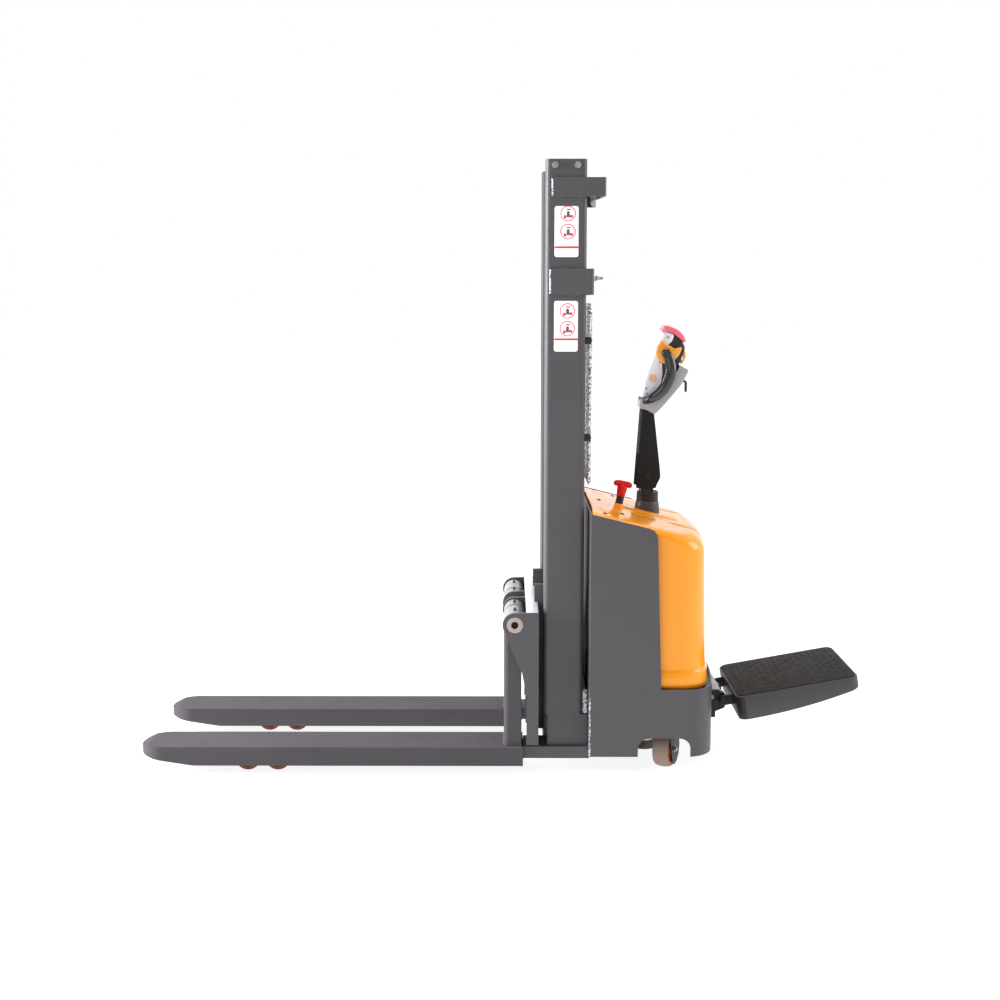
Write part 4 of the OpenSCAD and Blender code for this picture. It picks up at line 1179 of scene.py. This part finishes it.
def drive_wheel():
    """Grooved tyre and the nuts of the hub."""
    joint = JOINTS["drive_wheel_spin"]
    tyre = Shape()
    profile = [(82, 36), (104, 36.8), (111, 35), (114, 31)]
    for y in (26, 13, 0, -13, -26):
        profile += [(115, y + 2.4), (112.4, y + 1.4), (112.4, y - 1.4), (115, y - 2.4)]
    profile += [(114, -31), (111, -35), (104, -36.8), (82, -36)]
    tyre.lathe(profile, pivot("drive_wheel_spin"), joint["axis"], 72, loop=True)
    tyre.done("drive_tyre_tread", "drive_wheel", TYRE, "drive_rubber", ["drive_tyre"])
    nuts = Shape()
    centre = pivot("drive_wheel_spin")
    for k in range(5):
        a = 2 * math.pi * k / 5
        nuts.hex_bolt(centre + Vector((52 * math.cos(a), -36, 52 * math.sin(a))), (0, -1, 0), 9, 7)
    nuts.done("drive_wheel_nuts", "drive_wheel", STEEL, "bright_steel")


# ---- platform ----

TILT = math.radians(-JOINTS["platform_fold"]["range_deg"][0])
DECK_PLACE = Matrix.Translation(pivot("platform_fold")) @ Matrix.Rotation(-TILT, 4, "Y")


def deck_extent():
    """Length of the deck along its own slope, and half its width."""
    high = span("platform_deck")[1]
    corner = high - pivot("platform_fold")
    length = (corner.x - 8 * math.sin(TILT)) / math.cos(TILT)
    return length, high.y


def deck_low(u, length):
    """Lower edge of the tray's skirt, bellied towards the tail."""
    return -47 + 39 * max(0, (u - 60) / (length - 60)) ** 2


def rider_platform():
    """Tray with a deep skirt, a rubber mat with raised pads, and hinge ears."""
    length, half = deck_extent()
    r = 30
    start = 33              # where the tray begins, from the hinge
    loop = rounded_rect(start, length, -half, half, r, 10)
    fine = []
    for i, p in enumerate(loop):
        q = loop[(i + 1) % len(loop)]
        steps = max(1, int((q - p).length / 14))
        fine += [p.lerp(q, k / steps) for k in range(steps)]
    tray = Shape(DECK_PLACE)
    rings = []
    for inward, z, follow in ((8, 30, 0), (3, 30, 0), (1.2, 29.5, 0), (0, 27.5, 0), (0.2, 4, 0.35),
                              (0.6, 1.5, 1), (1.6, 0, 1), (4.4, 0, 1), (5, 1.5, 1), (5, 24, 0)):
        ring = []
        for p in inset(fine, inward):
            low = deck_low(p.x, length)
            level = z if follow == 0 else (low + z if follow == 1 else low * 0.5)
            ring.append(Vector((p.x, p.y, level)))
        rings.append(ring)
    tray.rings(rings)
    for s in SIDES:
        turn = [math.radians(90 + 15 * k) for k in range(13)]
        ear = [Vector((16 * math.cos(a), 16 * math.sin(a)))
               for a in turn] + [Vector((46, -16)), Vector((46, 16))]
        tray.slab(ear, *sorted((s * 96.4, s * 107.6)), 1.2)
    back = DECK_PLACE.inverted()
    for i, face in enumerate(tray.faces):
        centre = back @ (sum((tray.points[k] for k in face), Vector((0, 0, 0))) / len(face))
        if centre.x < 58 and centre.z < 26:
            tray.numbers[i] = 1
    tray.done("platform_tray", "platform", [DECK, BLACK_PLASTIC], "deck_plastic", ["platform_deck"], sharp=35)
    mat = Shape(DECK_PLACE)
    mat.slab(rounded_rect(start + 6, length - 6, -half + 6, half - 6, r - 6, 10), 29.6, 32.8, 1.4, axis="z")
    columns, rows = 17, 13
    width = (length - 80) / columns
    depth = (2 * half - 38) / rows
    for i in range(columns):
        for j in range(rows):
            u = 59 + width * i
            v = -half + 19 + depth * j
            if (i + j) % 2:
                pad = rounded_rect(u + 2, u + width - 2, v + 7.5, v + depth - 7.5, 2.2, 2)
            else:
                pad = rounded_rect(u + 8, u + width - 8, v + 2, v + depth - 2, 2.2, 2)
            mat.slab(pad, 32.4, 33.5, 0.5, axis="z", steps=1)
    mat.done("platform_tread", "platform", MAT, "mat_rubber", ["platform_mat"])
    fringe = Shape(DECK_PLACE)
    fringe.slab([Vector(p) for p in ((39, -44), (58, -44.4), (66, -28), (60, 2), (42, 20), (39, 20))],
                -half + 28, half - 28, 2)
    fringe.done("platform_nose", "platform", BLACK_PLASTIC, "black_plastic")


def platform_hinge():
    """Torsion springs, the light plate and bolts of the bracket, and caps over the hinge's ends."""
    origin = pivot("platform_fold")
    inner, outer = 33, span("platform_springs")[1].y - 2
    springs = Shape()
    wire = 2.8
    turns = 5.6
    for s in SIDES:
        path = []
        for k in range(int(turns * 16) + 1):
            a = 2 * math.pi * k / 16
            y = inner + (outer - inner) * k / (turns * 16)
            path.append(origin + Vector((13 * math.cos(a), s * y, 13 * math.sin(a))))
        springs.rod(path, wire, 8, dome=True)
    springs.done("torsion_springs", "chassis", DULL_STEEL, "black_steel", ["platform_springs"])
    plate = Shape()
    low, high = span("platform_bracket")
    plate.box((low.x + 4, -90, high.z - 0.6), (high.x - 24, 90, high.z + 1.6), 0.7)
    plate.done("bracket_plate", "chassis", GREY_PLASTIC, "bright_steel")
    bolts, caps = Shape(), Shape()
    for s in SIDES:
        bolts.hex_bolt((low.x + 9, s * 50, 176), (1, 0, 0), 9, 6)
        bolts.lathe([(7, -2), (7, 2), (5.8, 3.4), (0.1, 3.4)], (677, s * 92, 198), (0, s, 0), 28)
        caps.lathe([(13.4, -6), (13.4, 1), (12, 2.2), (0.1, 2.2)], (origin.x, s * 113.5, origin.z),
                   (0, s, 0), 32)
    bolts.done("bracket_bolts", "chassis", DULL_STEEL, "bright_steel")
    caps.done("hinge_caps", "chassis", BLACK_PAINT, "black_steel")


# ---- inside the body ----

def cable(shape, points):
    """A battery lead along a curve through points."""
    shape.rod(open_curve(points, 6), 5, 10)


def power_cables():
    """Battery leads, terminal clamps and the lead to the controller."""
    high = span("batteries")[1]
    red, black, clamps = Shape(), Shape(), Shape()
    for s in SIDES:
        for x in (310, 498):
            clamps.lathe([(12, high.z - 14), (12, high.z - 3), (9, high.z - 2), (9, high.z + 1),
                          (0.1, high.z + 1)], (x, s * 211, 0), Z_AXIS, 24)
    top = high.z - 6
    cable(red, [(310, 211, top), (300, 150, top + 24), (300, 90, 690), (312, 40, 706), (318, 20, 690)])
    cable(black, [(310, -211, top), (300, -170, top + 24), (300, -110, 680), (312, -70, 706),
                  (318, -60, 690)])
    cable(black, [(498, 211, top), (520, 150, top + 16), (528, 0, top + 20), (520, -150, top + 16),
                  (498, -211, top)])
    red.done("battery_lead_red", "chassis", CABLE_RED, "red_plastic")
    black.done("battery_leads_black", "chassis", BLACK_PLASTIC, "hose_rubber")
    clamps.done("battery_clamps", "chassis", DULL_STEEL, "bright_steel")


# ---- stage ----

def stage():
    """Pale floor that gives off light, a sky brightest behind and at the sides, and four lamps."""
    bpy.ops.mesh.primitive_plane_add(size=60, location=(0, 0, -0.0005))
    floor = bpy.context.object
    floor.name = "floor"
    made = Finish("studio_floor", specular=0.1)
    made.colour(made.mix(made.noise(0.6, 2), (0.33, 0.33, 0.33, 1), (0.35, 0.35, 0.35, 1)))
    made.rough(0.9)
    made.shader.inputs["Emission Color"].default_value = (1, 1, 1, 1)
    made.shader.inputs["Emission Strength"].default_value = 0.88
    floor.data.materials.append(made.material)
    world = bpy.data.worlds.new("studio")
    bpy.context.scene.world = world
    world.use_nodes = True
    tree = world.node_tree
    background = tree.nodes["Background"]
    direction = tree.nodes.new("ShaderNodeTexCoord").outputs["Generated"]
    split = tree.nodes.new("ShaderNodeSeparateXYZ")
    tree.links.new(direction, split.inputs[0])

    def math_node(operation, a, b):
        node = tree.nodes.new("ShaderNodeMath")
        node.operation = operation
        for value, socket in ((a, node.inputs[0]), (b, node.inputs[1])):
            if hasattr(value, "is_output"):
                tree.links.new(value, socket)
            else:
                socket.default_value = value
        return node.outputs[0]

    sideways = math_node("POWER", math_node("ABSOLUTE", split.outputs["X"], 0), 2.5)
    strength = math_node("ADD", 0.2, math_node("MULTIPLY", sideways, 0.95))
    for socket, amount in (("Z", 0.3), ("Y", 0.9)):
        share = math_node("MAXIMUM", split.outputs[socket], 0)
        strength = math_node("ADD", strength, math_node("MULTIPLY", share, amount))
    seen = tree.nodes.new("ShaderNodeLightPath").outputs["Is Camera Ray"]
    unseen = math_node("MULTIPLY", strength, math_node("SUBTRACT", 1, seen))
    tree.links.new(math_node("ADD", unseen, seen), background.inputs["Strength"])
    background.inputs["Color"].default_value = (1, 1, 1, 1)
    for name, place, aim, size, power in (("left", (-4.6, -0.5, 2.2), (-0.2, 0, 0.9), 2.4, 560),
                                          ("right", (4.4, -0.4, 2.2), (0.3, 0, 0.9), 2.0, 55),
                                          ("front", (-1.6, -4.4, 3.4), (0, 0, 0.9), 2.4, 35),
                                          ("top", (0.6, 0.8, 4.4), (0.2, 0, 0.8), 2.6, 45)):
        lamp = bpy.data.lights.new(name, "AREA")
        lamp.size = size
        lamp.energy = power
        holder = bpy.data.objects.new(name, lamp)
        bpy.context.scene.collection.objects.link(holder)
        holder.location = place
        holder.rotation_euler = (Vector(aim) - Vector(place)).to_track_quat("-Z", "Y").to_euler()
    bpy.context.scene.view_settings.view_transform = "Standard"


def camera():
    """The photograph's viewpoint: level with the side, a little above, looking slightly down."""
    lens = bpy.data.cameras.new("camera")
    lens.sensor_width = 36
    lens.lens = 49.94
    holder = bpy.data.objects.new("camera", lens)
    bpy.context.scene.collection.objects.link(holder)
    holder.location = (0.0154, -4.4711, 1.4781)
    pitch, yaw = 0.14353, -0.00445
    forward = Vector((math.sin(yaw) * math.cos(pitch), math.cos(yaw) * math.cos(pitch), -math.sin(pitch)))
    holder.rotation_euler = forward.to_track_quat("-Z", "Y").to_euler()
    bpy.context.scene.camera = holder


dress_cad()
rear_cover()
cover_details()
emergency_stop()
steering_boot()
tiller_arm()
tiller_head()
throttle()
grips()
reversing_button()
push_buttons()
ignition_key()
mesh_guard()
mast_labels()
lift_chains()
mast_details()
carriage_details()
load_wheels()
for hand in ("left", "right"):
    caster_wheel(hand)
    caster_brake(hand)
drive_wheel()
rider_platform()
platform_hinge()
power_cables()
stage()
camera()

bpy.context.view_layer.update()
